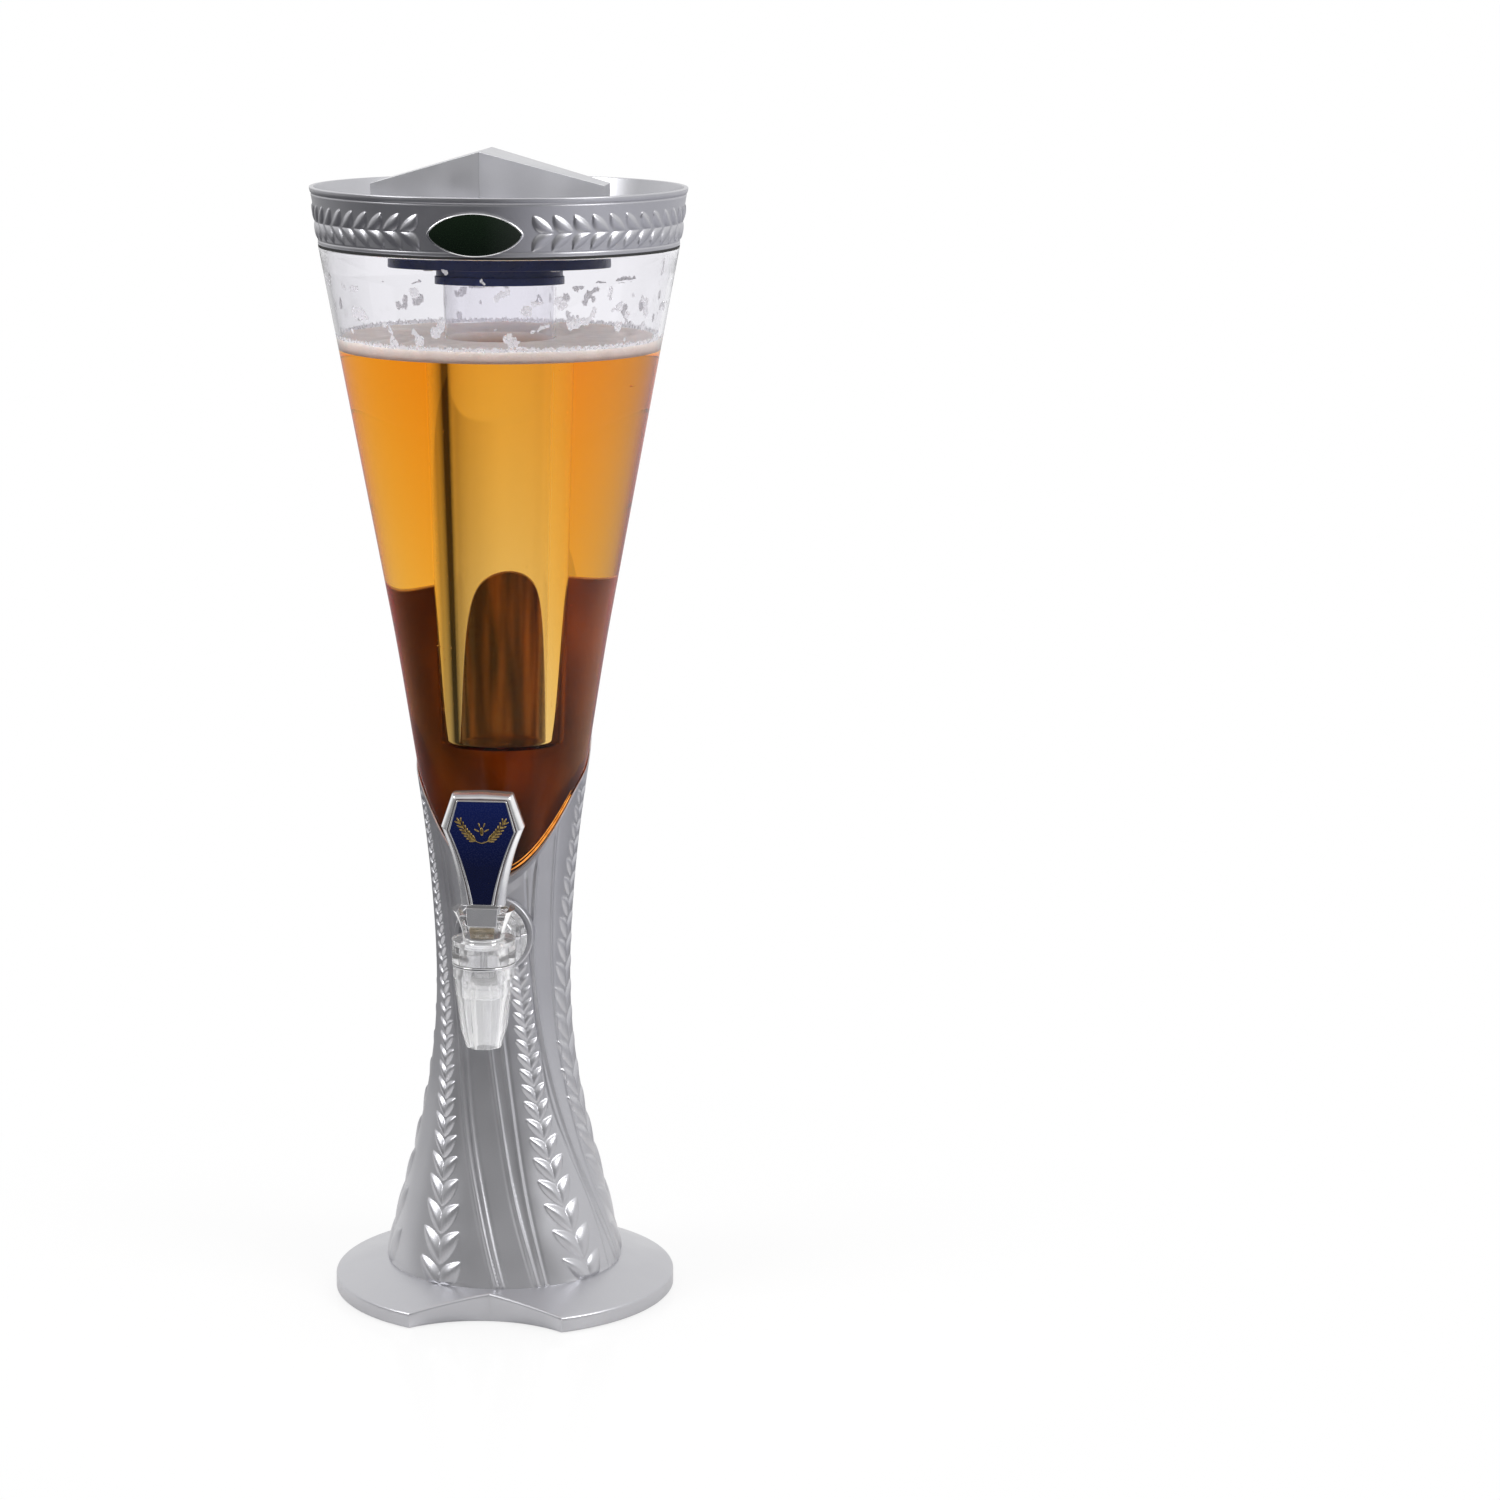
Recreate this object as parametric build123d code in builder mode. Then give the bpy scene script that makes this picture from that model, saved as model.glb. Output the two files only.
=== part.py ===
from build123d import *
import os
from math import radians, sin, sqrt

# Table-top drinks tower: a flared clear barrel in a sculpted column on a weighted foot, with a lever tap
# in front and a lift-off lid that carries an ice tube. Millimetres. +Z is up, the origin is on the column's
# axis on the table, and the tap points towards -Y. Points of a turned outline are (radius, height).

# ---- fits ----
run_gap = 0.05  # radial running clearance of pins, rods and threads
face_gap = 0.15  # between shells that nest without touching
slip_gap = 0.3  # between parts that are lifted apart
hole_gap = 0.3  # radial clearance of a hole around a screw or a tube

# ---- foot ----
foot_radius = 92.0
foot_stand = 0.6  # height of the foot's lower edge, held up by the pads
foot_edge_height = 8.0
foot_edge_round = 1.2
foot_seat_height = 17.0  # where the column stands
foot_deck = 4.0
foot_wall = 3.0
notch_half_width = 40.6
notch_depth = 14.56  # from the notch's corners on the rim back to its crease
notch_margin = 4.0  # how far the notch is cut past its corners
spigot_height = 8.0
spigot_wall = 2.5
spigot_slack = 2.0

cover_thickness = 4.0
cover_lift = 0.3  # the cover's face lies this far inside the foot's lower edge
pad_radius = 7.0
pad_circle_radius = 70.0
pad_count = 4
pad_recess = 1.2
ballast_radius = 44.0
ballast_thickness = 8.0

screw_count = 4
screw_circle_radius = 51.5
screw_radius = 2.0
screw_head_radius = 3.8
screw_head_height = 2.2
screw_head_sink = 0.4
screw_reach = 11.0  # thread length in the column's boss
screw_hole_spare = 1.0
post_radius = 5.0
boss_height = 15.0
boss_web = 3.0
boss_web_end = 59.9  # inside the column's wall

# ---- column ----
column_radius = 63.6  # at its foot
column_lean = -0.15
column_blank_top = 430.0  # the turned shell's height before its oblique cut
column_wall = 2.4
column_shape = [(54.1, 58.0), (43.4, 103.0), (37.1, 148.0), (36.2, 182.0), (37.7, 214.8), (39.5, 236.8)]
shelf_drop = 33.0  # the shelf's underside below the shank's axis
shelf_thickness = 3.0
shelf_hole_radius = 9.0
rim_wall = 1.0  # wall of the column where it laps over the barrel
cut_line = [(-38.4, 233.0), (-28.0, 260.0), (-17.0, 279.0), (0.0, 291.0), (22.0, 319.0), (61.4, 387.0)]
cut_front_lean = 3.0  # rise of the oblique edge per millimetre at its front end
cut_rear_lean = 1.85

# ---- barrel ----
barrel_wall = 2.5
cushion_thickness = 3.0
sump_radius = 31.0
sump_height = 18.0  # straight part of the barrel above its bottom
sump_round = 4.0
lap_bottom = (37.0, 236.8)  # where barrel and column start to lie together
lap_bottom_lean = 0.135
lap_middle = (46.7, 300.0)
lap_middle_lean = 0.158
cone_bottom = (58.6, 373.0)
cone_lean = 0.1844
shoulder_height = 565.0
lip_height = 9.5
lip_inset = 2.1

# ---- lid ----
gasket_thickness = 1.3
band_foot_proud = 0.3  # how far the band's foot stands out from the barrel's shoulder
band_middle_step = (2.1, 16.0)  # points of the band, out from and above the barrel's shoulder
band_top_step = (4.6, 31.0)
band_wall = 2.4
deck_rise = 15.0  # the deck's underside above the shoulder
deck_thickness = 2.5
badge_width = 49.0
badge_height = 22.0
badge_rise = 0.2
badge_thickness = 1.2

crown_ridge_rise = 35.0  # above the deck
crown_end_rise = 17.0
crown_half_width = 60.0
crown_front = 77.0  # distances in front of the axis
crown_shoulder = 47.0
crown_back = 27.0
crown_end_back = 20.0
crown_wall = 2.5

# ---- ice tube and its cap ----
cap_radius = 58.0
cap_drop = 11.5  # the cap's underside below the shoulder
cap_floor = 3.0
cap_wall = 2.5
socket_wall = 4.1
socket_drop = 17.0
socket_depth = 17.0
socket_roof = 3.0
tube_top_radius = 29.6
tube_bottom_radius = 24.2
tube_length = 245.0  # from the socket's underside down
tube_wall = 2.2
tube_corner = 4.0
tube_neck = 2.0  # straight part of the tube below its socket
seal_ring_height = 2.0

cap_screw_count = 4
cap_screw_circle_radius = 46.0
cap_screw_radius = 1.5
cap_screw_head_radius = 2.8
cap_screw_head_height = 1.6
cap_screw_head_sink = 0.4
cap_screw_bite = 5.0
cap_boss_radius = 4.5
cap_hole_spare = 0.5  # the deck's screw holes are this much deeper than the screws reach
deck_boss_height = 6.0

# ---- tap: shank through the walls; distances are in front of the column's axis ----
tap_distance = 78.0
shank_height = 205.0  # the tap, the column's shelf and the barrel's sump go with it
shank_radius = 7.0
shank_bore = 3.8
saddle_radius = 21.0
saddle_face = 40.0
wall_boss_radius = 12.5
wall_boss_inner = 23.0
wall_boss_outer = 31.6
wall_washer_thickness = 1.5
wall_washer_radius = 10.0
nut_washer_thickness = 1.5
nut_washer_radius = 11.0
nut_across_flats = 20.0
nut_thickness = 6.0
shank_tail = 1.5  # thread that stands out of the nut
flange_washer_thickness = 1.0
flange_washer_radius = 16.5
flange_radius = 18.3
flange_thickness = 2.6
flange_step = 1.7
flange_step_inset = 3.4
arm_radius = 9.6
shank_grip = 12.0  # length of shank inside the tap's arm

# ---- tap: body and nozzle; heights of the tap are measured from the shank's axis ----
body_radius = 16.6
body_bottom = -4.5
body_top = 8.0
groove_height = 2.0
groove_width = 1.0
groove_depth = 0.5
chamber_radius = 8.6
chamber_top = 4.0
valve_seat_height = -15.0
valve_seat_thickness = 2.5
valve_bore = 4.5
tail_radius = 11.8
tail_bottom = -22.0
outlet_bore = 6.5
trim_ring_height = 1.4
nozzle_radius = 16.1
nozzle_shoulder = -12.0
nozzle_waist = (12.6, -39.5)
nozzle_tip = (9.6, -49.7)
nozzle_mouth = 7.2
nozzle_throat = 10.8
nozzle_sides = 8

# ---- tap: bonnet, valve and lever ----
pivot_height = 19.0
bonnet_radius = 10.6
bonnet_plate = 1.5
horn_foot = 10.9
horn_middle = (12.9, 17.0)
horn_top = (16.4, 24.0)
fork_foot = 9.2  # half width of the fork's gap at its foot
fork_middle = (10.9, 16.5)
fork_top = 13.0
pin_radius = 1.5
pin_inner = 3.5
pin_half_length = 13.0  # the pins end just inside the horns

knuckle_radius = 8.1
cradle_gap = 0.4
cradle_front = 7.5
cradle_back = 5.5
cradle_half_foot = 6.0
cradle_half_top = 7.0
knuckle_front = 7.5
knuckle_back = 4.5
knuckle_half_foot = 7.2
knuckle_half_top = 8.4
slot_half_width = 3.1
slot_front = 5.0
slot_top = 5.6
slot_bend = 2.6  # below the pivot, where the slot opens forwards to clear the rod
slot_mouth = (7.5, 6.2)  # in front of and below the pivot
tongue_half_width = 6.0
tongue_half_depth = 2.6
tongue_length = 13.0

lever_travel = 35.0  # degrees
lift_arm = 5.0  # distance of the lift pin behind the pivot
lift_pin_radius = 1.25
lift_slot_gap = 0.3
lift_slot_play = 1.0  # room for the pin's path along the slot
rod_radius = 2.0
rod_head_half_width = 2.8
rod_head_half_height = 2.6
rod_head_rim = 1.2
rod_head_chamfer = 1.0
rod_foot_radius = 5.5
rod_foot_height = 2.0
plug_radius = 7.0
plug_thickness = 3.0
stem_ring_radius = 3.4
stem_ring_height = 1.6
stem_ring_lift = 1.2

handle_bottom = 25.5
handle_foot = 11.3
handle_waist = (14.2, 45.0)
handle_shoulder = (21.6, 67.6)
handle_head = 15.6
handle_top = 85.3
handle_crown = 0.8
handle_front = 5.5
handle_back = 4.5
handle_bevel = 2.0
handle_head_round = 3.5
inlay_depth = 1.4
inlay_head = (12.4, 81.4)
inlay_shoulder = (16.6, 65.5)
inlay_waist = (9.0, 45.0)
inlay_foot = (4.8, 27.0)

# ---- sizes that follow from those above ----
foot_edge_top = foot_stand + foot_edge_height
notch_corner = sqrt(foot_radius**2 - notch_half_width**2)
notch_crease = notch_corner - notch_depth  # distance in front of the axis
scoop_radius = (notch_half_width**2 + notch_depth**2) / 2 / notch_depth
foot_deck_under = foot_seat_height - foot_deck
spigot_outer = column_radius - column_wall - spigot_slack
spigot_top = foot_seat_height + spigot_height
cover_bottom = foot_stand + cover_lift
cover_top = cover_bottom + cover_thickness
cover_radius = foot_radius - foot_wall - face_gap
screw_seat = cover_bottom + screw_head_height + screw_head_sink
shelf_height = shank_height - shelf_drop
shelf_top = shelf_height + shelf_thickness
barrel_bottom = shelf_top + cushion_thickness
sump_top = barrel_bottom + sump_height
shoulder_radius = cone_bottom[0] + (shoulder_height - cone_bottom[1]) * cone_lean
lip_radius = shoulder_radius - lip_inset
lip_top = shoulder_height + lip_height
band_bottom = shoulder_height + gasket_thickness
band_foot = shoulder_radius + band_foot_proud
band_middle = (shoulder_radius + band_middle_step[0], shoulder_height + band_middle_step[1])
band_top = (shoulder_radius + band_top_step[0], shoulder_height + band_top_step[1])
deck_height = shoulder_height + deck_rise
deck_top = deck_height + deck_thickness
crown_ridge_height = deck_top + crown_ridge_rise
crown_end_height = deck_top + crown_end_rise
cap_bottom = shoulder_height - cap_drop
socket_bottom = shoulder_height - socket_drop
socket_top = socket_bottom + socket_depth
tube_bottom = socket_bottom - tube_length
socket_radius = tube_top_radius + socket_wall
tube_top = socket_top - seal_ring_height
deck_boss_bottom = deck_height - deck_boss_height
cap_screw_seat = cap_bottom + cap_screw_head_height + cap_screw_head_sink
wall_washer_end = wall_boss_outer + wall_washer_thickness
nut_face = wall_boss_inner - nut_washer_thickness
nut_end = nut_face - nut_thickness
flange_back = saddle_face + flange_washer_thickness
flange_front = flange_back + flange_thickness + 2 * flange_step
shank_front = flange_front + shank_grip
shank_hole = shank_radius + hole_gap
washer_hole = shank_radius + face_gap
bonnet_top = body_top + bonnet_plate
rod_bottom = valve_seat_height + plug_thickness
nozzle_top = body_bottom - trim_ring_height
lift_height = lift_arm * sin(radians(lever_travel))

tap_axis = Axis((0, -tap_distance, 0), (0, 0, 1))
tap_front = Plane(origin=(0, -tap_distance, shank_height), x_dir=(1, 0, 0), z_dir=(0, -1, 0))
tap_side = Plane(origin=(0, -tap_distance, shank_height), x_dir=(0, 1, 0), z_dir=(1, 0, 0))


def save(piece, name):
    """Labels a finished piece and writes its STEP file."""
    piece.label = name
    export_step(piece, f"parts/{name}.step")


def tap_level(height):
    """A level plane centred on the tap's upright axis, at a height above the shank's axis."""
    return Plane(origin=(0, -tap_distance, shank_height + height))


def shank_plane(distance):
    """A plane that faces forwards, centred on the shank, this far in front of the column's axis."""
    return Plane(origin=(0, -distance, shank_height), x_dir=(1, 0, 0), z_dir=(0, -1, 0))


def moved_out(point, offset):
    """A (radius, height) point at a larger radius."""
    return (point[0] + offset, point[1])


def cone_point(offset, height):
    """A point of the barrel's straight cone, or of a cone around it."""
    return (cone_bottom[0] + offset + (height - cone_bottom[1]) * cone_lean, height)


def upper_lap(offset):
    """The flared line above the lap's middle."""
    Spline(
        moved_out(lap_middle, offset),
        moved_out(cone_bottom, offset),
        tangents=[(lap_middle_lean, 1), (cone_lean, 1)],
    )


def lower_lap(offset):
    """The flared line below the lap's middle."""
    Spline(
        moved_out(lap_bottom, offset),
        moved_out(lap_middle, offset),
        tangents=[(lap_bottom_lean, 1), (lap_middle_lean, 1)],
    )


def scoop(inset):
    """The disc that hollows the foot's front at the table, moved into the foot by an inset."""
    with Locations((0, -notch_crease - scoop_radius)):
        Circle(scoop_radius + inset, mode=Mode.SUBTRACT)


def notch_outline(crease_bends):
    """The notch's outline, which meets the foot's rim at its corners: bent at the crease, or one arc."""
    half = notch_half_width + notch_margin
    far = -foot_radius - scoop_radius
    crease = (0, -notch_crease)
    with BuildLine() as outline:
        if crease_bends:
            edge = -notch_crease - notch_depth * half / notch_half_width
            Line((-half, edge), crease)
            Line(crease, (half, edge))
        else:
            edge = sqrt(scoop_radius**2 - half**2) - notch_crease - scoop_radius
            RadiusArc((-half, edge), crease, scoop_radius)
            RadiusArc(crease, (half, edge), scoop_radius)
        Polyline((half, edge), (half, far), (-half, far), (-half, edge))
    make_face(outline.edges())


def mirrored(point):
    """A point on the other side of the upright axis."""
    return (-point[0], point[1])


def round_bar(plane, radius, length, mode=Mode.ADD):
    """A round bar, or with another mode a hole, that starts on a plane."""
    with BuildSketch(plane) as outline:
        Circle(radius)
    extrude(outline.sketch, amount=length, mode=mode)


def round_ring(plane, outer, inner, length, mode=Mode.ADD):
    """A round ring that starts on a plane."""
    with BuildSketch(plane) as outline:
        Circle(outer)
        Circle(inner, mode=Mode.SUBTRACT)
    extrude(outline.sketch, amount=length, mode=mode)


def pegs(level, circle, count, radius, length, mode=Mode.ADD):
    """Upright pegs, or holes, spread evenly on a circle and starting at a level."""
    with BuildSketch(Plane.XY.offset(level)) as outline:
        with PolarLocations(circle, count, start_angle=180 / count):
            Circle(radius)
    extrude(outline.sketch, amount=length, mode=mode)


def cross_bar(distance, radius, reach, mode=Mode.ADD):
    """A round bar, or hole, across the tap at the pivot's height, this far behind the tap's axis."""
    with BuildSketch(tap_side) as outline:
        with Locations((distance, pivot_height)):
            Circle(radius)
    extrude(outline.sketch, amount=reach, both=True, mode=mode)


def shank_ring(start, end, outer, inner):
    """A ring on the shank's axis between two distances in front of the column's axis."""
    with BuildPart() as ring:
        round_ring(shank_plane(start), outer, inner, end - start)
    return ring.part


def band_line(offset):
    """The lid band's outer line, flaring to the rim."""
    ThreePointArc(
        (band_foot + offset, band_bottom),
        moved_out(band_middle, offset),
        moved_out(band_top, offset),
    )


os.makedirs("parts", exist_ok=True)

# ---- foot plate: a hollow cast plate with a fishtail notch in front ----
with BuildPart() as foot_cavity:
    with BuildSketch(Plane.XZ):
        with BuildLine():
            Polyline(
                (0, 0),
                (foot_radius - foot_wall, 0),
                (foot_radius - foot_wall, foot_edge_top - foot_wall),
                (column_radius, foot_deck_under),
                (0, foot_deck_under),
                close=True,
            )
        make_face()
    revolve(axis=Axis.Z)
    pegs(cover_top, screw_circle_radius, screw_count, post_radius, foot_seat_height, Mode.SUBTRACT)
    with BuildSketch():
        Circle(foot_radius)
        scoop(foot_wall)
    extrude(amount=foot_seat_height, mode=Mode.INTERSECT)

with BuildPart() as foot_plate:
    with BuildSketch(Plane.XZ):
        with BuildLine():
            Polyline(
                (0, foot_stand),
                (foot_radius, foot_stand),
                (foot_radius, foot_edge_top),
                (column_radius, foot_seat_height),
                (0, foot_seat_height),
                close=True,
            )
        make_face()
    revolve(axis=Axis.Z)
    with BuildSketch(Plane.XY.offset(foot_stand)):
        notch_outline(False)
    with BuildSketch(Plane.XY.offset(foot_seat_height)):
        notch_outline(True)
    loft(ruled=True, mode=Mode.SUBTRACT)
    rim_edges = foot_plate.edges().filter_by_position(Axis.Z, foot_edge_top, foot_edge_top)
    fillet(rim_edges, foot_edge_round)
    add(foot_cavity.part, mode=Mode.SUBTRACT)
    round_ring(Plane.XY.offset(foot_seat_height), spigot_outer, spigot_outer - spigot_wall, spigot_height)
    pegs(0, screw_circle_radius, screw_count, screw_radius + hole_gap, spigot_top, Mode.SUBTRACT)
save(foot_plate.part, "foot_plate")

with BuildPart() as bottom_cover:
    with BuildSketch(Plane.XY.offset(cover_bottom)):
        Circle(cover_radius)
        scoop(foot_wall + face_gap)
    extrude(amount=cover_thickness)
    screw_hole = screw_radius + hole_gap
    head_hole = screw_head_radius + hole_gap
    head_depth = screw_seat - cover_bottom
    pegs(cover_bottom, screw_circle_radius, screw_count, screw_hole, cover_thickness, Mode.SUBTRACT)
    pegs(cover_bottom, screw_circle_radius, screw_count, head_hole, head_depth, Mode.SUBTRACT)
    pegs(cover_bottom, pad_circle_radius, pad_count, pad_radius, pad_recess, Mode.SUBTRACT)
save(bottom_cover.part, "bottom_cover")

with BuildPart() as rubber_feet:
    pegs(0, pad_circle_radius, pad_count, pad_radius, cover_bottom + pad_recess)
save(rubber_feet.part, "rubber_feet")

with BuildPart() as ballast_disc:
    round_bar(Plane.XY.offset(cover_top), ballast_radius, ballast_thickness)
save(ballast_disc.part, "ballast_disc")

with BuildPart() as base_screws:
    head_foot = screw_seat - screw_head_height
    screw_length = foot_seat_height + screw_reach - screw_seat
    pegs(head_foot, screw_circle_radius, screw_count, screw_head_radius, screw_head_height)
    pegs(screw_seat, screw_circle_radius, screw_count, screw_radius, screw_length)
save(base_screws.part, "base_screws")

# ---- column: one moulded shell, cut obliquely at the top, with a shelf for the barrel in its waist ----
with BuildPart() as column_shell:
    with BuildSketch(Plane.XZ):
        with BuildLine():
            Line((0, foot_seat_height), (column_radius, foot_seat_height))
            Spline(
                (column_radius, foot_seat_height),
                *column_shape,
                moved_out(lap_middle, face_gap + rim_wall),
                tangents=[(column_lean, 1), (lap_middle_lean, 1)],
            )
            upper_lap(face_gap + rim_wall)
            Polyline(
                cone_point(face_gap + rim_wall, cone_bottom[1]),
                cone_point(face_gap + rim_wall, column_blank_top),
                (0, column_blank_top),
                (0, foot_seat_height),
            )
        make_face()
    revolve(axis=Axis.Z)
    round_bar(shank_plane(0), saddle_radius, saddle_face)
    with BuildSketch(Plane.XZ):
        with BuildLine():
            Line((0, foot_seat_height), (column_radius - column_wall, foot_seat_height))
            Spline(
                (column_radius - column_wall, foot_seat_height),
                *[moved_out(point, -column_wall) for point in column_shape[:-1]],
                moved_out(lap_bottom, face_gap),
                tangents=[(column_lean, 1), (lap_bottom_lean, 1)],
            )
            lower_lap(face_gap)
            upper_lap(face_gap)
            Polyline(
                cone_point(face_gap, cone_bottom[1]),
                cone_point(face_gap, column_blank_top),
                (0, column_blank_top),
                (0, foot_seat_height),
            )
        make_face()
    revolve(axis=Axis.Z, mode=Mode.SUBTRACT)
    shelf_radius = column_shape[3][0] - column_wall / 2
    round_ring(Plane.XY.offset(shelf_height), shelf_radius, shelf_hole_radius, shelf_thickness)
    round_bar(shank_plane(0), wall_boss_radius + face_gap, wall_boss_outer + face_gap, Mode.SUBTRACT)
    round_bar(shank_plane(0), wall_washer_radius + face_gap, wall_washer_end, Mode.SUBTRACT)
    round_bar(shank_plane(wall_washer_end), wall_washer_radius + face_gap, saddle_face - wall_washer_end)
    round_bar(shank_plane(0), shank_hole, saddle_face, Mode.SUBTRACT)
    pegs(foot_seat_height, screw_circle_radius, screw_count, post_radius, boss_height)
    web_middle = (screw_circle_radius + boss_web_end) / 2
    with BuildSketch(Plane.XY.offset(spigot_top + slip_gap)):
        with PolarLocations(web_middle, screw_count, start_angle=180 / screw_count):
            Rectangle(boss_web_end - screw_circle_radius, boss_web)
    extrude(amount=foot_seat_height + boss_height - spigot_top - slip_gap)
    thread_hole = screw_radius + run_gap
    thread_depth = screw_reach + screw_hole_spare
    pegs(foot_seat_height, screw_circle_radius, screw_count, thread_hole, thread_depth, Mode.SUBTRACT)
    with BuildSketch(Plane.YZ):
        with BuildLine():
            rear = cut_line[-1]
            front = cut_line[0]
            reach = 2 * lip_top
            Spline(*cut_line, tangents=[(1, cut_front_lean), (1, cut_rear_lean)])
            Line(front, (front[0] - foot_radius, front[1] - foot_radius * cut_front_lean))
            Line(rear, (rear[0] + foot_radius, rear[1] + foot_radius * cut_rear_lean))
            Polyline(
                (front[0] - foot_radius, front[1] - foot_radius * cut_front_lean),
                (front[0] - foot_radius, reach),
                (rear[0] + foot_radius, reach),
                (rear[0] + foot_radius, rear[1] + foot_radius * cut_rear_lean),
            )
        make_face()
    extrude(amount=foot_radius * 2, both=True, mode=Mode.SUBTRACT)
save(column_shell.part, "column_shell")

with BuildPart() as barrel_cushion:
    cushion_radius = sump_radius - barrel_wall
    cushion_hole = shelf_hole_radius + barrel_wall
    round_ring(Plane.XY.offset(shelf_top), cushion_radius, cushion_hole, cushion_thickness)
save(barrel_cushion.part, "barrel_cushion")

# ---- barrel: clear, with a cup-shaped sump that the shank passes into ----
lip_inner = lip_radius - barrel_wall
lip_inner_foot = cone_bottom[1] + (lip_inner + barrel_wall - cone_bottom[0]) / cone_lean
with BuildPart() as barrel:
    with BuildSketch(Plane.XZ):
        with BuildLine():
            Polyline((0, barrel_bottom), (sump_radius, barrel_bottom), (sump_radius, sump_top))
            Spline((sump_radius, sump_top), lap_bottom, tangents=[(0, 1), (lap_bottom_lean, 1)])
            lower_lap(0)
            upper_lap(0)
            Polyline(
                cone_bottom,
                cone_point(0, shoulder_height),
                (lip_radius, shoulder_height),
                (lip_radius, lip_top),
                (0, lip_top),
                (0, barrel_bottom),
            )
        make_face()
    revolve(axis=Axis.Z)
    round_bar(shank_plane(0), wall_boss_radius, wall_boss_outer)
    with BuildSketch(Plane.XZ):
        with BuildLine():
            inner_sump = sump_radius - barrel_wall
            floor = barrel_bottom + barrel_wall
            Line((0, floor), (inner_sump - sump_round, floor))
            RadiusArc((inner_sump - sump_round, floor), (inner_sump, floor + sump_round), -sump_round)
            Line((inner_sump, floor + sump_round), (inner_sump, sump_top))
            Spline(
                (inner_sump, sump_top),
                moved_out(lap_bottom, -barrel_wall),
                tangents=[(0, 1), (lap_bottom_lean, 1)],
            )
            lower_lap(-barrel_wall)
            upper_lap(-barrel_wall)
            Polyline(
                cone_point(-barrel_wall, cone_bottom[1]),
                (lip_inner, lip_inner_foot),
                (lip_inner, lip_top),
                (0, lip_top),
                (0, floor),
            )
        make_face()
    revolve(axis=Axis.Z, mode=Mode.SUBTRACT)
    round_bar(shank_plane(wall_boss_inner), wall_boss_radius, wall_boss_outer - wall_boss_inner)
    round_bar(shank_plane(wall_boss_outer), wall_boss_radius, saddle_face - wall_boss_outer, Mode.SUBTRACT)
    round_bar(shank_plane(0), shank_hole, saddle_face, Mode.SUBTRACT)
save(barrel.part, "barrel")

# ---- shank, nut and washers: they clamp barrel and column together ----
save(shank_ring(wall_boss_outer, wall_washer_end, wall_washer_radius, washer_hole), "wall_washer")
save(shank_ring(nut_face, wall_boss_inner, nut_washer_radius, washer_hole), "nut_washer")
save(shank_ring(nut_end - shank_tail, shank_front, shank_radius, shank_bore), "tap_shank")
save(shank_ring(saddle_face, flange_back, flange_washer_radius, washer_hole), "flange_washer")

with BuildPart() as shank_nut:
    with BuildSketch(shank_plane(nut_end)):
        RegularPolygon(nut_across_flats / 2, 6, major_radius=False)
        Circle(shank_radius + run_gap, mode=Mode.SUBTRACT)
    extrude(amount=nut_thickness)
save(shank_nut.part, "shank_nut")

with BuildPart() as tap_flange:
    for step in range(3):
        step_radius = flange_radius - step * flange_step_inset
        round_bar(shank_plane(flange_back), step_radius, flange_thickness + step * flange_step)
    fillet(tap_flange.edges().group_by(Axis.Y)[0], flange_step / 3)
    round_bar(shank_plane(flange_back), shank_radius + run_gap, flange_front, Mode.SUBTRACT)
save(tap_flange.part, "tap_flange")

# ---- tap body: a clear cup on a hollow arm, with the valve seat in its tail ----
with BuildPart() as tap_body:
    round_bar(shank_plane(flange_front), arm_radius, tap_distance - flange_front)
    round_bar(tap_level(body_top), body_radius + arm_radius, arm_radius, Mode.SUBTRACT)
    round_bar(tap_level(body_bottom), body_radius + slip_gap, -arm_radius, Mode.SUBTRACT)
    round_bar(tap_level(body_bottom), body_radius, body_top - body_bottom)
    groove_floor = body_radius - groove_depth
    round_ring(tap_level(groove_height), body_radius, groove_floor, groove_width, Mode.SUBTRACT)
    round_bar(tap_level(tail_bottom), tail_radius, body_bottom - tail_bottom)
    round_bar(tap_level(chamber_top), bonnet_radius + run_gap, arm_radius, Mode.SUBTRACT)
    round_bar(tap_level(valve_seat_height), chamber_radius, chamber_top - valve_seat_height, Mode.SUBTRACT)
    round_bar(tap_level(tail_bottom), valve_bore, valve_seat_height - tail_bottom, Mode.SUBTRACT)
    outlet_top = valve_seat_height - valve_seat_thickness
    round_bar(tap_level(tail_bottom), outlet_bore, outlet_top - tail_bottom, Mode.SUBTRACT)
    round_bar(shank_plane(flange_front), shank_radius + run_gap, shank_grip, Mode.SUBTRACT)
    round_bar(shank_plane(flange_front), shank_bore, tap_distance - flange_front, Mode.SUBTRACT)
save(tap_body.part, "tap_body")

with BuildPart() as trim_ring:
    round_ring(tap_level(nozzle_top), body_radius, tail_radius + run_gap, trim_ring_height)
save(trim_ring.part, "trim_ring")

with BuildPart() as nozzle:
    round_bar(tap_level(nozzle_shoulder), nozzle_radius, nozzle_top - nozzle_shoulder)
    for upper, lower in [((nozzle_radius, nozzle_shoulder), nozzle_waist), (nozzle_waist, nozzle_tip)]:
        with BuildSketch(tap_level(upper[1])):
            RegularPolygon(upper[0], nozzle_sides, rotation=180 / nozzle_sides)
        with BuildSketch(tap_level(lower[1])):
            RegularPolygon(lower[0], nozzle_sides, rotation=180 / nozzle_sides)
        loft(ruled=True)
    round_bar(tap_level(tail_bottom), tail_radius + run_gap, nozzle_top - tail_bottom, Mode.SUBTRACT)
    with BuildSketch(tap_level(tail_bottom)):
        Circle(nozzle_throat)
    with BuildSketch(tap_level(nozzle_tip[1])):
        Circle(nozzle_mouth)
    loft(mode=Mode.SUBTRACT)
save(nozzle.part, "nozzle")

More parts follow.
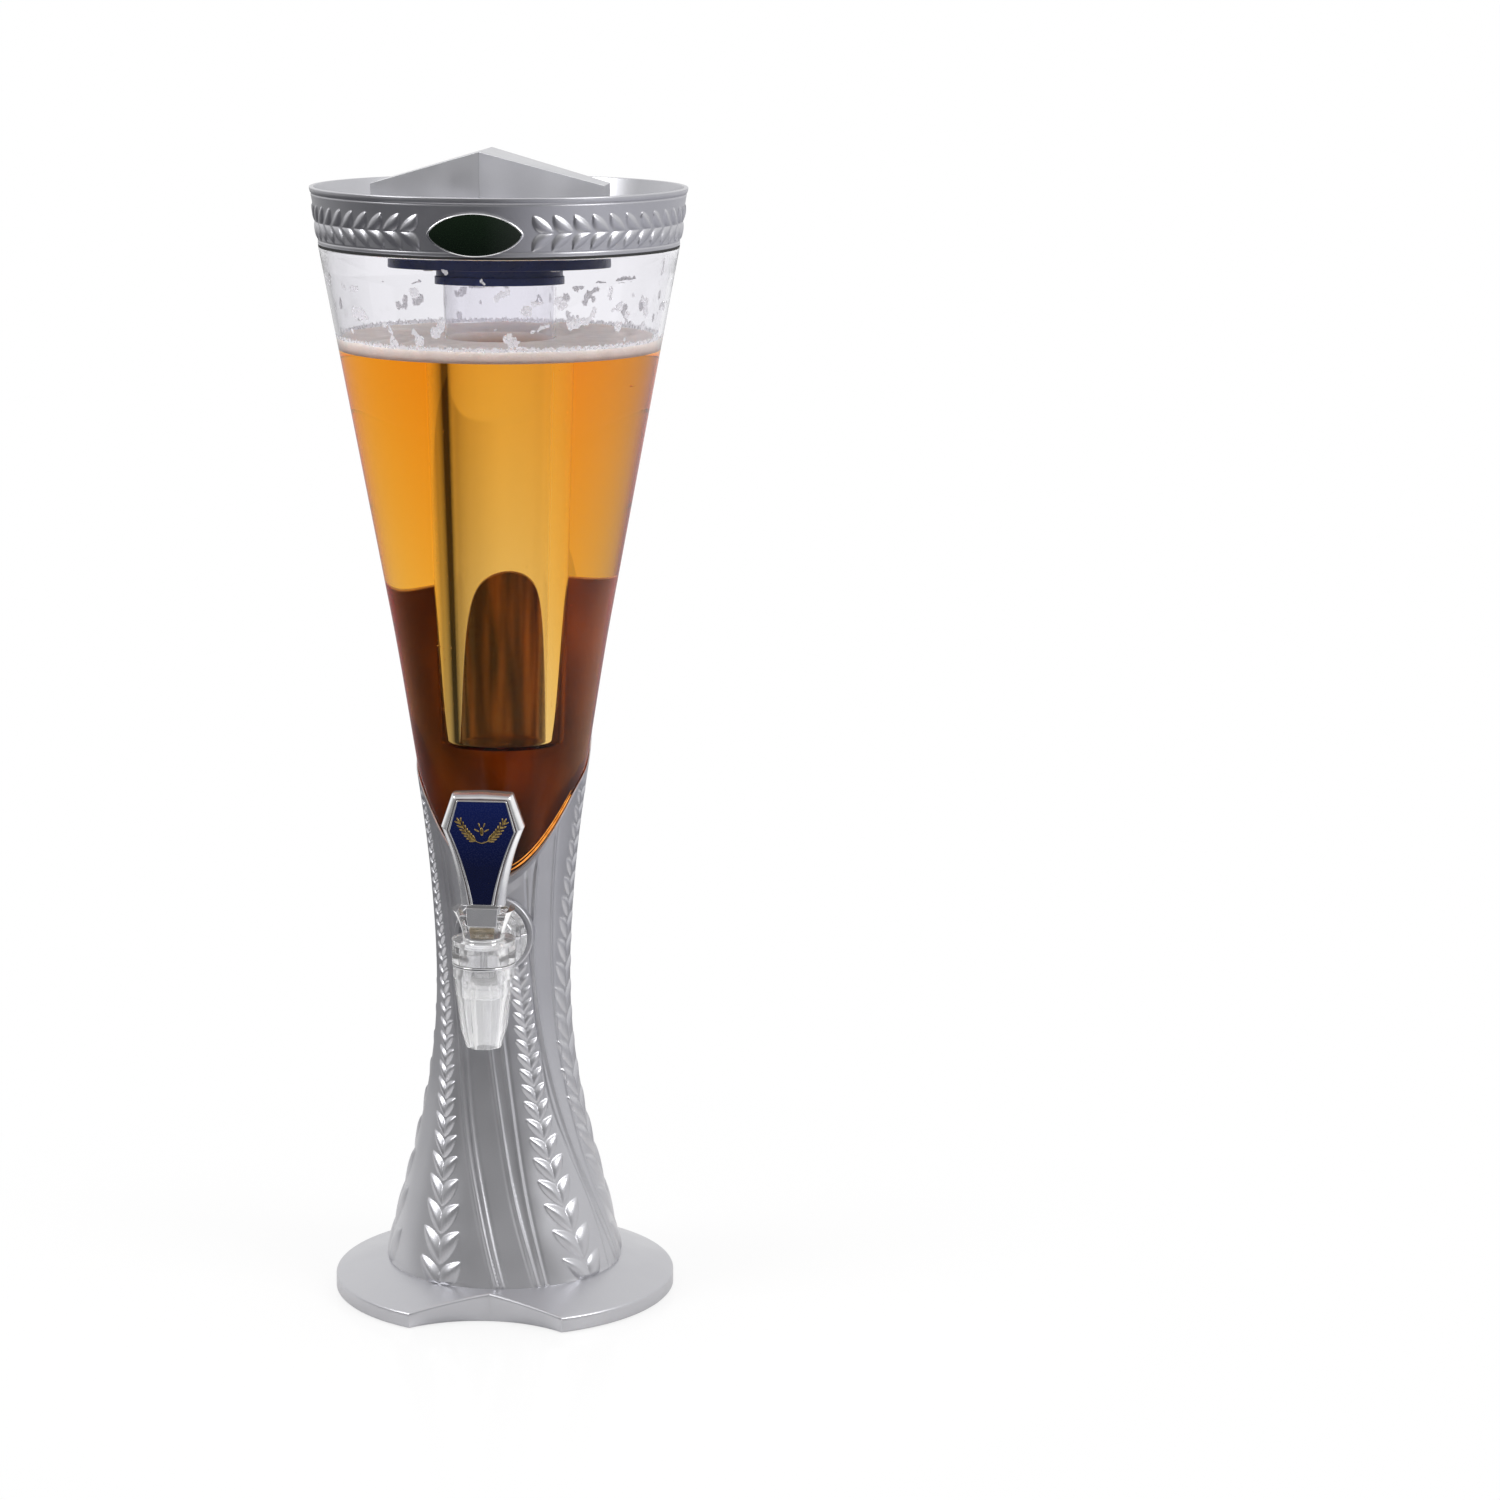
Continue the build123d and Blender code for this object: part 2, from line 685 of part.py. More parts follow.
# ---- bonnet: closes the chamber and carries the lever between two horns ----
stem_ring_bottom = chamber_top + stem_ring_lift
with BuildPart() as bonnet:
    with BuildSketch(tap_front):
        with BuildLine():
            Polyline(
                (0, horn_top[1]),
                (0, chamber_top),
                (bonnet_radius, chamber_top),
                (bonnet_radius, body_top),
                (horn_foot, body_top),
                (horn_foot, bonnet_top),
            )
            ThreePointArc((horn_foot, bonnet_top), horn_middle, horn_top)
            Line(horn_top, (0, horn_top[1]))
        make_face()
    revolve(axis=tap_axis)
    with BuildSketch(tap_front):
        with BuildLine():
            ThreePointArc((fork_foot, bonnet_top), fork_middle, (fork_top, horn_top[1]))
            ThreePointArc((-fork_foot, bonnet_top), mirrored(fork_middle), (-fork_top, horn_top[1]))
            Line((-fork_foot, bonnet_top), (fork_foot, bonnet_top))
            Line((-fork_top, horn_top[1]), (fork_top, horn_top[1]))
        make_face()
    extrude(amount=2 * horn_top[0], both=True, mode=Mode.SUBTRACT)
    round_bar(tap_level(chamber_top), rod_radius + run_gap, bonnet_top - chamber_top, Mode.SUBTRACT)
    round_bar(tap_level(stem_ring_bottom), stem_ring_radius, stem_ring_height, Mode.SUBTRACT)
    cross_bar(0, pin_radius, horn_top[0], Mode.SUBTRACT)
save(bonnet.part, "bonnet")

with BuildPart() as stem_ring:
    round_ring(tap_level(stem_ring_bottom), stem_ring_radius, rod_radius + run_gap, stem_ring_height)
save(stem_ring.part, "stem_ring")

with BuildPart() as stem_gland:
    with BuildSketch(tap_front.offset(-cradle_back)):
        with BuildLine():
            Polyline(
                (-cradle_half_foot, bonnet_top),
                (cradle_half_foot, bonnet_top),
                (cradle_half_top, pivot_height),
                (-cradle_half_top, pivot_height),
                close=True,
            )
        make_face()
    extrude(amount=cradle_front + cradle_back)
    cross_bar(0, knuckle_radius + cradle_gap, horn_top[0], Mode.SUBTRACT)
    round_bar(tap_level(bonnet_top), rod_radius + run_gap, knuckle_radius, Mode.SUBTRACT)
save(stem_gland.part, "stem_gland")

with BuildPart() as pivot_pins:
    cross_bar(0, pin_radius, pin_half_length)
    with BuildSketch(tap_side):
        with Locations((0, pivot_height)):
            Circle(knuckle_radius)
    extrude(amount=pin_inner, both=True, mode=Mode.SUBTRACT)
save(pivot_pins.part, "pivot_pins")

# ---- valve: a rod with a rubber plug, lifted by a pin in a level slot ----
slot_height = 2 * (lift_pin_radius + lift_slot_gap)
slot_back = lift_arm + slot_height / 2
slot_front_end = slot_back - slot_height - lift_slot_play
with BuildPart() as valve_stem:
    round_bar(tap_level(rod_bottom), rod_foot_radius, rod_foot_height)
    round_bar(tap_level(rod_bottom), rod_radius, pivot_height - rod_bottom)
    with BuildSketch(tap_side):
        with BuildLine():
            Polyline(
                (-rod_radius, pivot_height - rod_head_half_height),
                (slot_back + rod_head_rim, pivot_height - rod_head_half_height),
                (slot_back + rod_head_rim, pivot_height + rod_head_half_height),
                (rod_head_chamfer - rod_radius, pivot_height + rod_head_half_height),
                (-rod_radius, pivot_height + rod_head_half_height - rod_head_chamfer),
                close=True,
            )
        make_face()
        with Locations(((slot_back + slot_front_end) / 2, pivot_height)):
            SlotOverall(slot_back - slot_front_end, slot_height, mode=Mode.SUBTRACT)
    extrude(amount=rod_head_half_width, both=True)
save(valve_stem.part, "valve_stem")

with BuildPart() as valve_plug:
    round_bar(tap_level(valve_seat_height), plug_radius, plug_thickness)
save(valve_plug.part, "valve_plug")

# ---- lever: knuckle, handle and inlay ----
with BuildPart() as lever_knuckle:
    with BuildSketch(tap_side):
        with Locations((0, pivot_height)):
            Circle(knuckle_radius)
        with BuildLine():
            Polyline(
                (-knuckle_radius, pivot_height),
                (knuckle_back, pivot_height),
                (knuckle_back, handle_bottom),
                (-knuckle_radius, handle_bottom),
                close=True,
            )
        make_face()
    extrude(amount=knuckle_half_top, both=True)
    with BuildSketch(tap_front.offset(-knuckle_radius)):
        with BuildLine():
            Polyline(
                (-knuckle_half_foot, pivot_height - knuckle_radius),
                (knuckle_half_foot, pivot_height - knuckle_radius),
                (knuckle_half_top, handle_bottom),
                (-knuckle_half_top, handle_bottom),
                close=True,
            )
        make_face()
    extrude(amount=knuckle_radius + knuckle_front, mode=Mode.INTERSECT)
    with BuildSketch(tap_level(handle_bottom)):
        Rectangle(2 * tongue_half_width, 2 * tongue_half_depth)
    extrude(amount=tongue_length)
    with BuildSketch(tap_side):
        with BuildLine():
            Polyline(
                (-slot_mouth[0], pivot_height - knuckle_radius),
                (knuckle_radius, pivot_height - knuckle_radius),
                (knuckle_radius, pivot_height + slot_top),
                (-slot_front, pivot_height + slot_top),
                (-slot_front, pivot_height - slot_bend),
                (-slot_mouth[0], pivot_height - slot_mouth[1]),
                close=True,
            )
        make_face()
    extrude(amount=slot_half_width, both=True, mode=Mode.SUBTRACT)
    cross_bar(0, pin_radius + run_gap, knuckle_half_top, Mode.SUBTRACT)
    cross_bar(lift_arm, lift_pin_radius, knuckle_half_top, Mode.SUBTRACT)
save(lever_knuckle.part, "lever_knuckle")

with BuildPart() as lift_pin:
    cross_bar(lift_arm, lift_pin_radius, knuckle_half_foot)
save(lift_pin.part, "lift_pin")

with BuildPart() as lever_handle:
    with BuildSketch(tap_front.offset(-handle_back)) as handle_outline:
        with BuildLine():
            Line((0, handle_bottom), (handle_foot, handle_bottom))
            ThreePointArc((handle_foot, handle_bottom), handle_waist, handle_shoulder)
            Line(handle_shoulder, (handle_head, handle_top))
            ThreePointArc(
                (handle_head, handle_top),
                (0, handle_top + handle_crown),
                (-handle_head, handle_top),
            )
            Line((-handle_head, handle_top), mirrored(handle_shoulder))
            ThreePointArc(
                mirrored(handle_shoulder),
                mirrored(handle_waist),
                (-handle_foot, handle_bottom),
            )
            Line((-handle_foot, handle_bottom), (0, handle_bottom))
        make_face()
        fillet(handle_outline.vertices().group_by(Axis.Y)[-1], handle_head_round)
    extrude(amount=handle_front + handle_back)
    chamfer(lever_handle.faces().sort_by(Axis.Y)[0].edges(), handle_bevel)
    chamfer(lever_handle.faces().sort_by(Axis.Y)[-1].edges(), handle_bevel)
    with BuildSketch(tap_front.offset(handle_front)) as inlay_outline:
        with BuildLine():
            Line(mirrored(inlay_foot), inlay_foot)
            ThreePointArc(inlay_foot, inlay_waist, inlay_shoulder)
            Line(inlay_shoulder, inlay_head)
            Line(inlay_head, mirrored(inlay_head))
            Line(mirrored(inlay_head), mirrored(inlay_shoulder))
            ThreePointArc(mirrored(inlay_shoulder), mirrored(inlay_waist), mirrored(inlay_foot))
        make_face()
    extrude(amount=-inlay_depth, mode=Mode.SUBTRACT)
    with BuildSketch(tap_level(handle_bottom)):
        Rectangle(2 * tongue_half_width, 2 * tongue_half_depth)
    extrude(amount=tongue_length, mode=Mode.SUBTRACT)
save(lever_handle.part, "lever_handle")

with BuildPart() as handle_inlay:
    extrude(inlay_outline.sketch, amount=-inlay_depth)
save(handle_inlay.part, "handle_inlay")

# ---- lid: a band with a deck, a gasket, a badge and a roof-shaped crown ----
with BuildPart() as lid_shell:
    with BuildSketch(Plane.XZ):
        with BuildLine():
            band_line(0)
            Polyline(
                band_top,
                (band_top[0] - band_wall, band_top[1]),
                (band_middle[0] - band_wall, deck_top),
                (0, deck_top),
                (0, deck_height),
                (lip_radius + slip_gap, deck_height),
                (lip_radius + slip_gap, band_bottom),
                (band_foot, band_bottom),
            )
        make_face()
    revolve(axis=Axis.Z)
    hole_radius = cap_screw_radius + run_gap
    hole_depth = cap_screw_bite + cap_hole_spare
    pegs(deck_boss_bottom, cap_screw_circle_radius, cap_screw_count, cap_boss_radius, deck_boss_height)
    pegs(deck_boss_bottom, cap_screw_circle_radius, cap_screw_count, hole_radius, hole_depth, Mode.SUBTRACT)
save(lid_shell.part, "lid_shell")

with BuildPart() as lid_gasket:
    round_ring(Plane.XY.offset(shoulder_height), shoulder_radius, lip_radius + slip_gap, gasket_thickness)
save(lid_gasket.part, "lid_gasket")

with BuildPart() as badge:
    with BuildSketch(Plane.XZ):
        with BuildLine():
            band_line(run_gap)
            band_line(run_gap + badge_thickness)
            Line(
                (band_foot + run_gap, band_bottom),
                (band_foot + run_gap + badge_thickness, band_bottom),
            )
            Line(moved_out(band_top, run_gap), moved_out(band_top, run_gap + badge_thickness))
        make_face()
    revolve(axis=Axis.Z)
    badge_centre = (0, band_bottom + badge_rise + badge_height / 2)
    with BuildSketch(Plane.XZ):
        with BuildLine():
            left = (-badge_width / 2, badge_centre[1])
            right = (badge_width / 2, badge_centre[1])
            ThreePointArc(left, (0, badge_centre[1] + badge_height / 2), right)
            ThreePointArc(left, (0, badge_centre[1] - badge_height / 2), right)
        make_face()
    extrude(amount=2 * foot_radius, mode=Mode.INTERSECT)
save(badge.part, "badge")

with BuildPart() as lid_crown:
    with BuildSketch(Plane.XY.offset(deck_top)):
        with BuildLine():
            Polyline(
                (0, -crown_front),
                (crown_half_width, -crown_shoulder),
                (crown_half_width, -crown_end_back),
                (0, -crown_back),
                (-crown_half_width, -crown_end_back),
                (-crown_half_width, -crown_shoulder),
                close=True,
            )
        make_face()
    extrude(amount=crown_ridge_height - deck_top)
    with BuildSketch(Plane.XZ):
        with BuildLine():
            Polyline(
                (-crown_half_width, deck_top),
                (crown_half_width, deck_top),
                (crown_half_width, crown_end_height),
                (0, crown_ridge_height),
                (-crown_half_width, crown_end_height),
                close=True,
            )
        make_face()
    extrude(amount=crown_front, mode=Mode.INTERSECT)
    offset(amount=-crown_wall, openings=lid_crown.faces().sort_by(Axis.Z)[0])
save(lid_crown.part, "lid_crown")

# ---- ice tube, and the cap that screws it to the lid ----
with BuildPart() as tube_cap:
    with BuildSketch(Plane.XZ):
        with BuildLine():
            Polyline(
                (0, socket_top),
                (tube_top_radius + run_gap, socket_top),
                (tube_top_radius + run_gap, socket_bottom),
                (socket_radius, socket_bottom),
                (socket_radius, cap_bottom),
                (cap_radius, cap_bottom),
                (cap_radius, deck_height),
                (cap_radius - cap_wall, deck_height),
                (cap_radius - cap_wall, cap_bottom + cap_floor),
                (socket_radius, cap_bottom + cap_floor),
                (socket_radius, socket_top + socket_roof),
                (0, socket_top + socket_roof),
                close=True,
            )
        make_face()
    revolve(axis=Axis.Z)
    boss_length = deck_boss_bottom - cap_bottom
    screw_hole = cap_screw_radius + hole_gap
    head_hole = cap_screw_head_radius + hole_gap
    head_depth = cap_screw_seat - cap_bottom
    pegs(cap_bottom, cap_screw_circle_radius, cap_screw_count, cap_boss_radius, boss_length)
    pegs(cap_bottom, cap_screw_circle_radius, cap_screw_count, screw_hole, boss_length, Mode.SUBTRACT)
    pegs(cap_bottom, cap_screw_circle_radius, cap_screw_count, head_hole, head_depth, Mode.SUBTRACT)
save(tube_cap.part, "tube_cap")

with BuildPart() as cap_screws:
    head_foot = cap_screw_seat - cap_screw_head_height
    screw_length = deck_boss_bottom + cap_screw_bite - cap_screw_seat
    pegs(head_foot, cap_screw_circle_radius, cap_screw_count, cap_screw_head_radius, cap_screw_head_height)
    pegs(cap_screw_seat, cap_screw_circle_radius, cap_screw_count, cap_screw_radius, screw_length)
save(cap_screws.part, "cap_screws")

with BuildPart() as tube_seal:
    round_ring(Plane.XY.offset(tube_top), tube_top_radius, tube_top_radius - tube_wall, seal_ring_height)
save(tube_seal.part, "tube_seal")

neck_height = socket_bottom - tube_neck
with BuildPart() as ice_tube:
    with BuildSketch(Plane.XZ):
        with BuildLine():
            FilletPolyline(
                (0, tube_bottom),
                (tube_bottom_radius, tube_bottom),
                (tube_top_radius, neck_height),
                radius=tube_corner,
            )
            Polyline(
                (tube_top_radius, neck_height),
                (tube_top_radius, tube_top),
                (0, tube_top),
                (0, tube_bottom),
            )
        make_face()
    revolve(axis=Axis.Z)
    with BuildSketch(Plane.XZ):
        with BuildLine():
            FilletPolyline(
                (0, tube_bottom + tube_wall),
                (tube_bottom_radius - tube_wall, tube_bottom + tube_wall),
                (tube_top_radius - tube_wall, neck_height),
                radius=tube_corner - tube_wall / 2,
            )
            Polyline(
                (tube_top_radius - tube_wall, neck_height),
                (tube_top_radius - tube_wall, tube_top),
                (0, tube_top),
                (0, tube_bottom + tube_wall),
            )
        make_face()
    revolve(axis=Axis.Z, mode=Mode.SUBTRACT)
save(ice_tube.part, "ice_tube")

lift_ratio = lift_height / radians(lever_travel)
print("valve lift", round(lift_height, 4), "mm,", round(lift_ratio, 4), "mm per radian")
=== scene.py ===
from math import atan2, ceil, cos, hypot, pi, radians, sin, sqrt

import bmesh
import bpy
import numpy as np
from bpy.props import FloatProperty, FloatVectorProperty, IntProperty, PointerProperty
from mathutils import Matrix, Vector


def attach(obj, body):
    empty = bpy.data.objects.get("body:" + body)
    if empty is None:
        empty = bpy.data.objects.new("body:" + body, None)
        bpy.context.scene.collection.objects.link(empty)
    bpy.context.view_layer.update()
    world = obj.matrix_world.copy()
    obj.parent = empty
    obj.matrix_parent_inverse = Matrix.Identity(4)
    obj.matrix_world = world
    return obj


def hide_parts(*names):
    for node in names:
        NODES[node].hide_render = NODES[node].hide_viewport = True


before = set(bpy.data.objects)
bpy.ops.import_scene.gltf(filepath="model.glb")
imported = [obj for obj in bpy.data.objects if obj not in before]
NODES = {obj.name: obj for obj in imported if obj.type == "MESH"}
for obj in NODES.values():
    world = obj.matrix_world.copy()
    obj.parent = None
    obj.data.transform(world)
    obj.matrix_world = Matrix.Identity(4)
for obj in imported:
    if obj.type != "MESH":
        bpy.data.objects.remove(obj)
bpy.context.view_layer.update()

bl_info = {
    "name": "Drinks tower",
    "version": (1, 0, 0),
    "blender": (4, 5, 0),
    "location": "View3D > Sidebar > Drinks tower",
    "description": "A table-top drinks tower: sculpted column, clear barrel, ice tube and lever tap",
    "category": "Object",
}

MM = 0.001

# ---- outlines of the turned pieces, as in the part's source: millimetres, points as (radius, height) ----
FOOT_RADIUS = 92.0
FOOT_STAND = 0.6
FOOT_EDGE = 8.6
FOOT_WALL = 3.0
FOOT_CEILING = 4.0  # thickness of the plate's top under the column
FOOT_ROUND = 1.3
NOTCH_HALF = 40.6
NOTCH_DEPTH = 14.56
SPIGOT = (56.7, 59.2, 25.0)  # inner and outer radius, top
COLUMN_FOOT = (63.6, 17.0)
COLUMN_SHAPE = [(54.1, 58.0), (43.4, 103.0), (37.1, 148.0), (36.2, 182.0), (37.7, 214.8), (39.5, 236.8)]
COLUMN_LEAN = -0.15
COLUMN_WALL = 2.4
COLUMN_SINK = 0.15  # how far the ground of the relief lies under the wall's face
CUT_LINE = [  # the oblique rim from the side: distance behind the axis, height
    (-38.4, 233.0), (-28.0, 260.0), (-17.0, 279.0), (0.0, 291.0), (22.0, 322.0), (38.0, 359.0), (51.0, 381.5),
    (62.3, 392.0),
]
CUT_LEANS = (3.0, 0.75)
SHELF = (172.0, 175.0)
SHELF_HOLE = 9.0
BARREL_WALL = 2.5
BARREL_FLOOR = 178.0
SUMP_RADIUS = 31.0
SUMP_TOP = 196.0
LAP_BOTTOM = (37.0, 236.8)
LAP_MIDDLE = (46.7, 300.0)
CONE_BOTTOM = (58.6, 373.0)
LAP_LEANS = (0.135, 0.158)
CONE_LEAN = 0.1844
SHOULDER = 565.0
LIP_TOP = 574.5
LIP_INSET = 2.1
LAP_GAP = 0.15
RIM_WALL = 1.0
TUBE_BOTTOM = (24.2, 303.0)
TUBE_NECK = (29.6, 546.0)
TUBE_TOP = 563.0
TUBE_WALL = 1.1
BAND = [(94.3, 566.3), (96.1, 581.0), (98.6, 596.0)]
BAND_WALL = 2.4
BAND_SINK = 0.35
BAND_CURL = 570  # height where the band's face leaves its rounded foot
DECK = (580.0, 582.5)
CAP_RADIUS = 58.0
CAP_UNDERSIDE = 558.2
CAP_WALL = 2.5
CAP_FLOOR = 3.0
SOCKET = (548.0, 565.0, 568.0)  # mouth, end of the bore, top
SOCKET_WALL = 4.1
SCREW_CIRCLE = 46.0
TAP_Y = -78.0
SHANK_Z = 205.0
HANDLE_FACE = 5.5
HANDLE_DEPTH = 10.0
HANDLE_MIDDLE = 60.0
INLAY_MIDDLE = 65.0
# (half width, height above the shank) of foot, waist, shoulder and head, and the height of the top
HANDLE = ((11.3, 25.5), (14.2, 45.0), (21.6, 67.6), (15.6, 85.3), 86.1)
INLAY = ((4.8, 27.0), (9.0, 45.0), (16.6, 65.5), (12.4, 81.4), 81.4)
SADDLE_RADIUS = 21.0
SADDLE_FACE = -40.0
SADDLE_BACK = (-33.0, -26.0)  # its pole and its edge inside the column


def slopes_line(points, leans):
    """A smooth curve through (value, position) points with the given end slopes, as a function."""
    x = np.array([p[1] for p in points], float)
    y = np.array([p[0] for p in points], float)
    n, h = len(x), np.diff(x)
    system, known = np.zeros((n, n)), np.zeros(n)
    system[0, :2], known[0] = (2 * h[0], h[0]), 6 * ((y[1] - y[0]) / h[0] - leans[0])
    system[-1, -2:], known[-1] = (h[-1], 2 * h[-1]), 6 * (leans[1] - (y[-1] - y[-2]) / h[-1])
    for i in range(1, n - 1):
        system[i, i - 1 : i + 2] = h[i - 1], 2 * (h[i - 1] + h[i]), h[i]
        known[i] = 6 * ((y[i + 1] - y[i]) / h[i] - (y[i] - y[i - 1]) / h[i - 1])
    bend = np.linalg.solve(system, known)

    def value(at):
        at = np.asarray(at, float)
        i = np.clip(np.searchsorted(x, at) - 1, 0, n - 2)
        a, b, w = x[i + 1] - at, at - x[i], h[i]
        return (
            (bend[i] * a**3 + bend[i + 1] * b**3) / (6 * w)
            + (y[i] / w - bend[i] * w / 6) * a
            + (y[i + 1] / w - bend[i + 1] * w / 6) * b
        )

    return value


def out(point, offset):
    return (point[0] + offset, point[1])


LOWER_LAP = slopes_line([LAP_BOTTOM, LAP_MIDDLE], LAP_LEANS)
UPPER_LAP = slopes_line([LAP_MIDDLE, CONE_BOTTOM], (LAP_LEANS[1], CONE_LEAN))
COLUMN_LOWER = slopes_line(
    [COLUMN_FOOT, *COLUMN_SHAPE, out(LAP_MIDDLE, LAP_GAP + RIM_WALL)], (COLUMN_LEAN, LAP_LEANS[1])
)
COLUMN_INSIDE = slopes_line(
    [out(p, -COLUMN_WALL) for p in [COLUMN_FOOT, *COLUMN_SHAPE[:-1]]] + [out(LAP_BOTTOM, LAP_GAP)],
    (COLUMN_LEAN, LAP_LEANS[0]),
)
CUP = slopes_line([(SUMP_RADIUS, SUMP_TOP), LAP_BOTTOM], (0, LAP_LEANS[0]))
CUT_HEIGHT = slopes_line([(z, y) for y, z in CUT_LINE], CUT_LEANS)
BAND_LINE = np.polynomial.Polynomial.fit([p[1] for p in BAND], [p[0] for p in BAND], 2)


def cone(height):
    return CONE_BOTTOM[0] + (np.asarray(height, float) - CONE_BOTTOM[1]) * CONE_LEAN


def barrel_radius(height):
    """The barrel's outer radius from its sump to its shoulder."""
    z = np.asarray(height, float)
    return np.select(
        [z <= SUMP_TOP, z <= LAP_BOTTOM[1], z <= LAP_MIDDLE[1], z <= CONE_BOTTOM[1]],
        [np.full(z.shape, SUMP_RADIUS), CUP(z), LOWER_LAP(z), UPPER_LAP(z)],
        cone(z),
    )


def column_radius(height):
    """The column's outer radius under its relief."""
    z = np.asarray(height, float)
    lap = LAP_GAP + RIM_WALL
    parts = [COLUMN_LOWER(z), UPPER_LAP(z) + lap]
    return np.select([z <= LAP_MIDDLE[1], z <= CONE_BOTTOM[1]], parts, cone(z) + lap)


def column_bore(height):
    """The column's inner radius: its own wall at the bottom, a close lap round the barrel above."""
    z = np.asarray(height, float)
    return np.where(z <= LAP_BOTTOM[1], COLUMN_INSIDE(z), barrel_radius(z) + LAP_GAP)


def cut_height(angle, radius_at):
    """Height of the oblique cut on the wall of the given radius, for angles measured from the tap."""
    low, high = np.full(angle.shape, 200.0), np.full(angle.shape, 420.0)
    ends = CUT_LINE[0], CUT_LINE[-1]
    for _ in range(40):
        mid = (low + high) / 2
        y = -radius_at(mid) * np.cos(angle)
        cut = CUT_HEIGHT(np.clip(y, ends[0][0], ends[1][0]))
        cut += np.minimum(y - ends[0][0], 0) * CUT_LEANS[0] + np.maximum(y - ends[1][0], 0) * CUT_LEANS[1]
        above = mid > cut
        high, low = np.where(above, mid, high), np.where(above, low, mid)
    return (low + high) / 2


# ---- mesh tools ----
def add_mesh(name, points, faces, material, crease=35.0):
    """A smooth-shaded mesh object, in metres, from points in millimetres."""
    mesh = bpy.data.meshes.new(name)
    mesh.from_pydata((np.asarray(points, float) * MM).tolist(), [], faces)
    mesh.validate()
    work = bmesh.new()
    work.from_mesh(mesh)
    bmesh.ops.recalc_face_normals(work, faces=work.faces)
    work.to_mesh(mesh)
    work.free()
    mesh.materials.append(material)
    mesh.shade_smooth()
    mesh.set_sharp_from_angle(angle=radians(crease))
    piece = bpy.data.objects.new(name, mesh)
    bpy.context.scene.collection.objects.link(piece)
    return piece


def ring_faces(rows, columns, start=0, loop=False):
    """Quads between rings of points; with loop, the last ring joins the first."""
    r = np.arange(rows if loop else rows - 1)
    c = np.arange(columns)
    a = start + r[:, None] * columns + c
    b = start + r[:, None] * columns + (c + 1) % columns
    above = ((r + 1) % rows)[:, None] * columns + start
    return np.stack([a, b, above + (c + 1) % columns, above + c], -1).reshape(-1, 4).tolist()


def circle(columns):
    """Evenly spaced angles round a circle, counted from the tap."""
    return np.arange(columns) * 2 * pi / columns


def ring_points(radius, angle, height):
    """Points round the column's axis, each at its own angle from the tap, radius and height."""
    return np.stack([radius * np.sin(angle), -radius * np.cos(angle), height + 0 * angle], -1)


def turned_points(outline, columns, centre=(0.0, 0.0)):
    """Rings of points round an upright axis, one for each (radius, height) of the outline."""
    r, z = np.asarray(outline, float).T[..., None]
    return (ring_points(r, circle(columns), z) + (*centre, 0.0)).reshape(-1, 3)


def capped(rings, columns, start=0):
    """Faces of a stack of rings that is closed by two poles, which come after the rings' points."""
    faces = ring_faces(rings, columns, start)
    poles, top = start + rings * columns, start + (rings - 1) * columns
    for c in range(columns):
        faces.append((poles, start + (c + 1) % columns, start + c))
        faces.append((poles + 1, top + c, top + (c + 1) % columns))
    return faces


def turned(name, outline, material, columns=192, centres=((0.0, 0.0),)):
    """Closed turned solids, one at each centre, from an outline that starts and ends on the axis."""
    points, faces = np.empty((0, 3)), []
    for centre in centres:
        poles = [(*centre, outline[0][1]), (*centre, outline[-1][1])]
        faces += capped(len(outline) - 2, columns, len(points))
        points = np.vstack([points, turned_points(outline[1:-1], columns, centre), poles])
    return add_mesh(name, points, faces, material)


def add_balls(name, places, material, crease):
    """One mesh of many small balls, each a (radius, matrix) in millimetres."""
    work = bmesh.new()
    for radius, matrix in places:
        bmesh.ops.create_icosphere(work, subdivisions=2, radius=radius, matrix=matrix)
    points = [v.co[:] for v in work.verts]
    faces = [[v.index for v in f.verts] for f in work.faces]
    work.free()
    return add_mesh(name, points, faces, material, crease)


def rounded(outline, steps=4):
    """An outline with its marked corners rounded; a point with a third value is a corner of that radius."""
    result = []
    for i, point in enumerate(outline):
        reach = point[2] if len(point) > 2 else 0
        before, after = outline[i - 1], outline[(i + 1) % len(outline)]
        ends_here = i in (0, len(outline) - 1) and outline[0][0] < 1e-6
        if not reach or ends_here:
            result.append(tuple(point[:2]))
            continue
        p = Vector(point[:2])
        a, b = Vector(before[:2]) - p, Vector(after[:2]) - p
        if a.length < 1e-6 or b.length < 1e-6:
            result.append(tuple(p))
            continue
        half = a.angle(b) / 2
        if half > radians(86):
            result.append(tuple(p))
            continue
        cut = min(reach / max(np.tan(half), 1e-3), a.length * 0.45, b.length * 0.45)
        start, end = p + a.normalized() * cut, p + b.normalized() * cut
        for k in range(steps + 1):
            t = k / steps
            result.append(tuple(start * (1 - t) ** 2 + p * 2 * t * (1 - t) + end * t**2))
    return result


def heights(low, high, step):
    """Evenly spaced heights from low to high, both included."""
    return np.linspace(low, high, max(2, ceil(abs(high - low) / step) + 1))


def seat(piece, body, slot, *nodes):
    """Rides a piece on its body and, where it stands for CAD nodes, replaces them; slot is not used."""
    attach(piece, body)
    if nodes:
        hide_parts(*nodes)
    return piece


def clear(piece):
    """Lets the lamps shine through a see-through piece."""
    piece.visible_shadow = False
    return piece


def wetted(piece, wet):
    """Gives the faces whose (radius, height) the drink reaches the wet plastic."""
    piece.data.materials.append(finish("wet_plastic"))
    for face in piece.data.polygons:
        x, y, z = face.center / MM
        face.material_index = int(wet(hypot(x, y), z))
    return piece


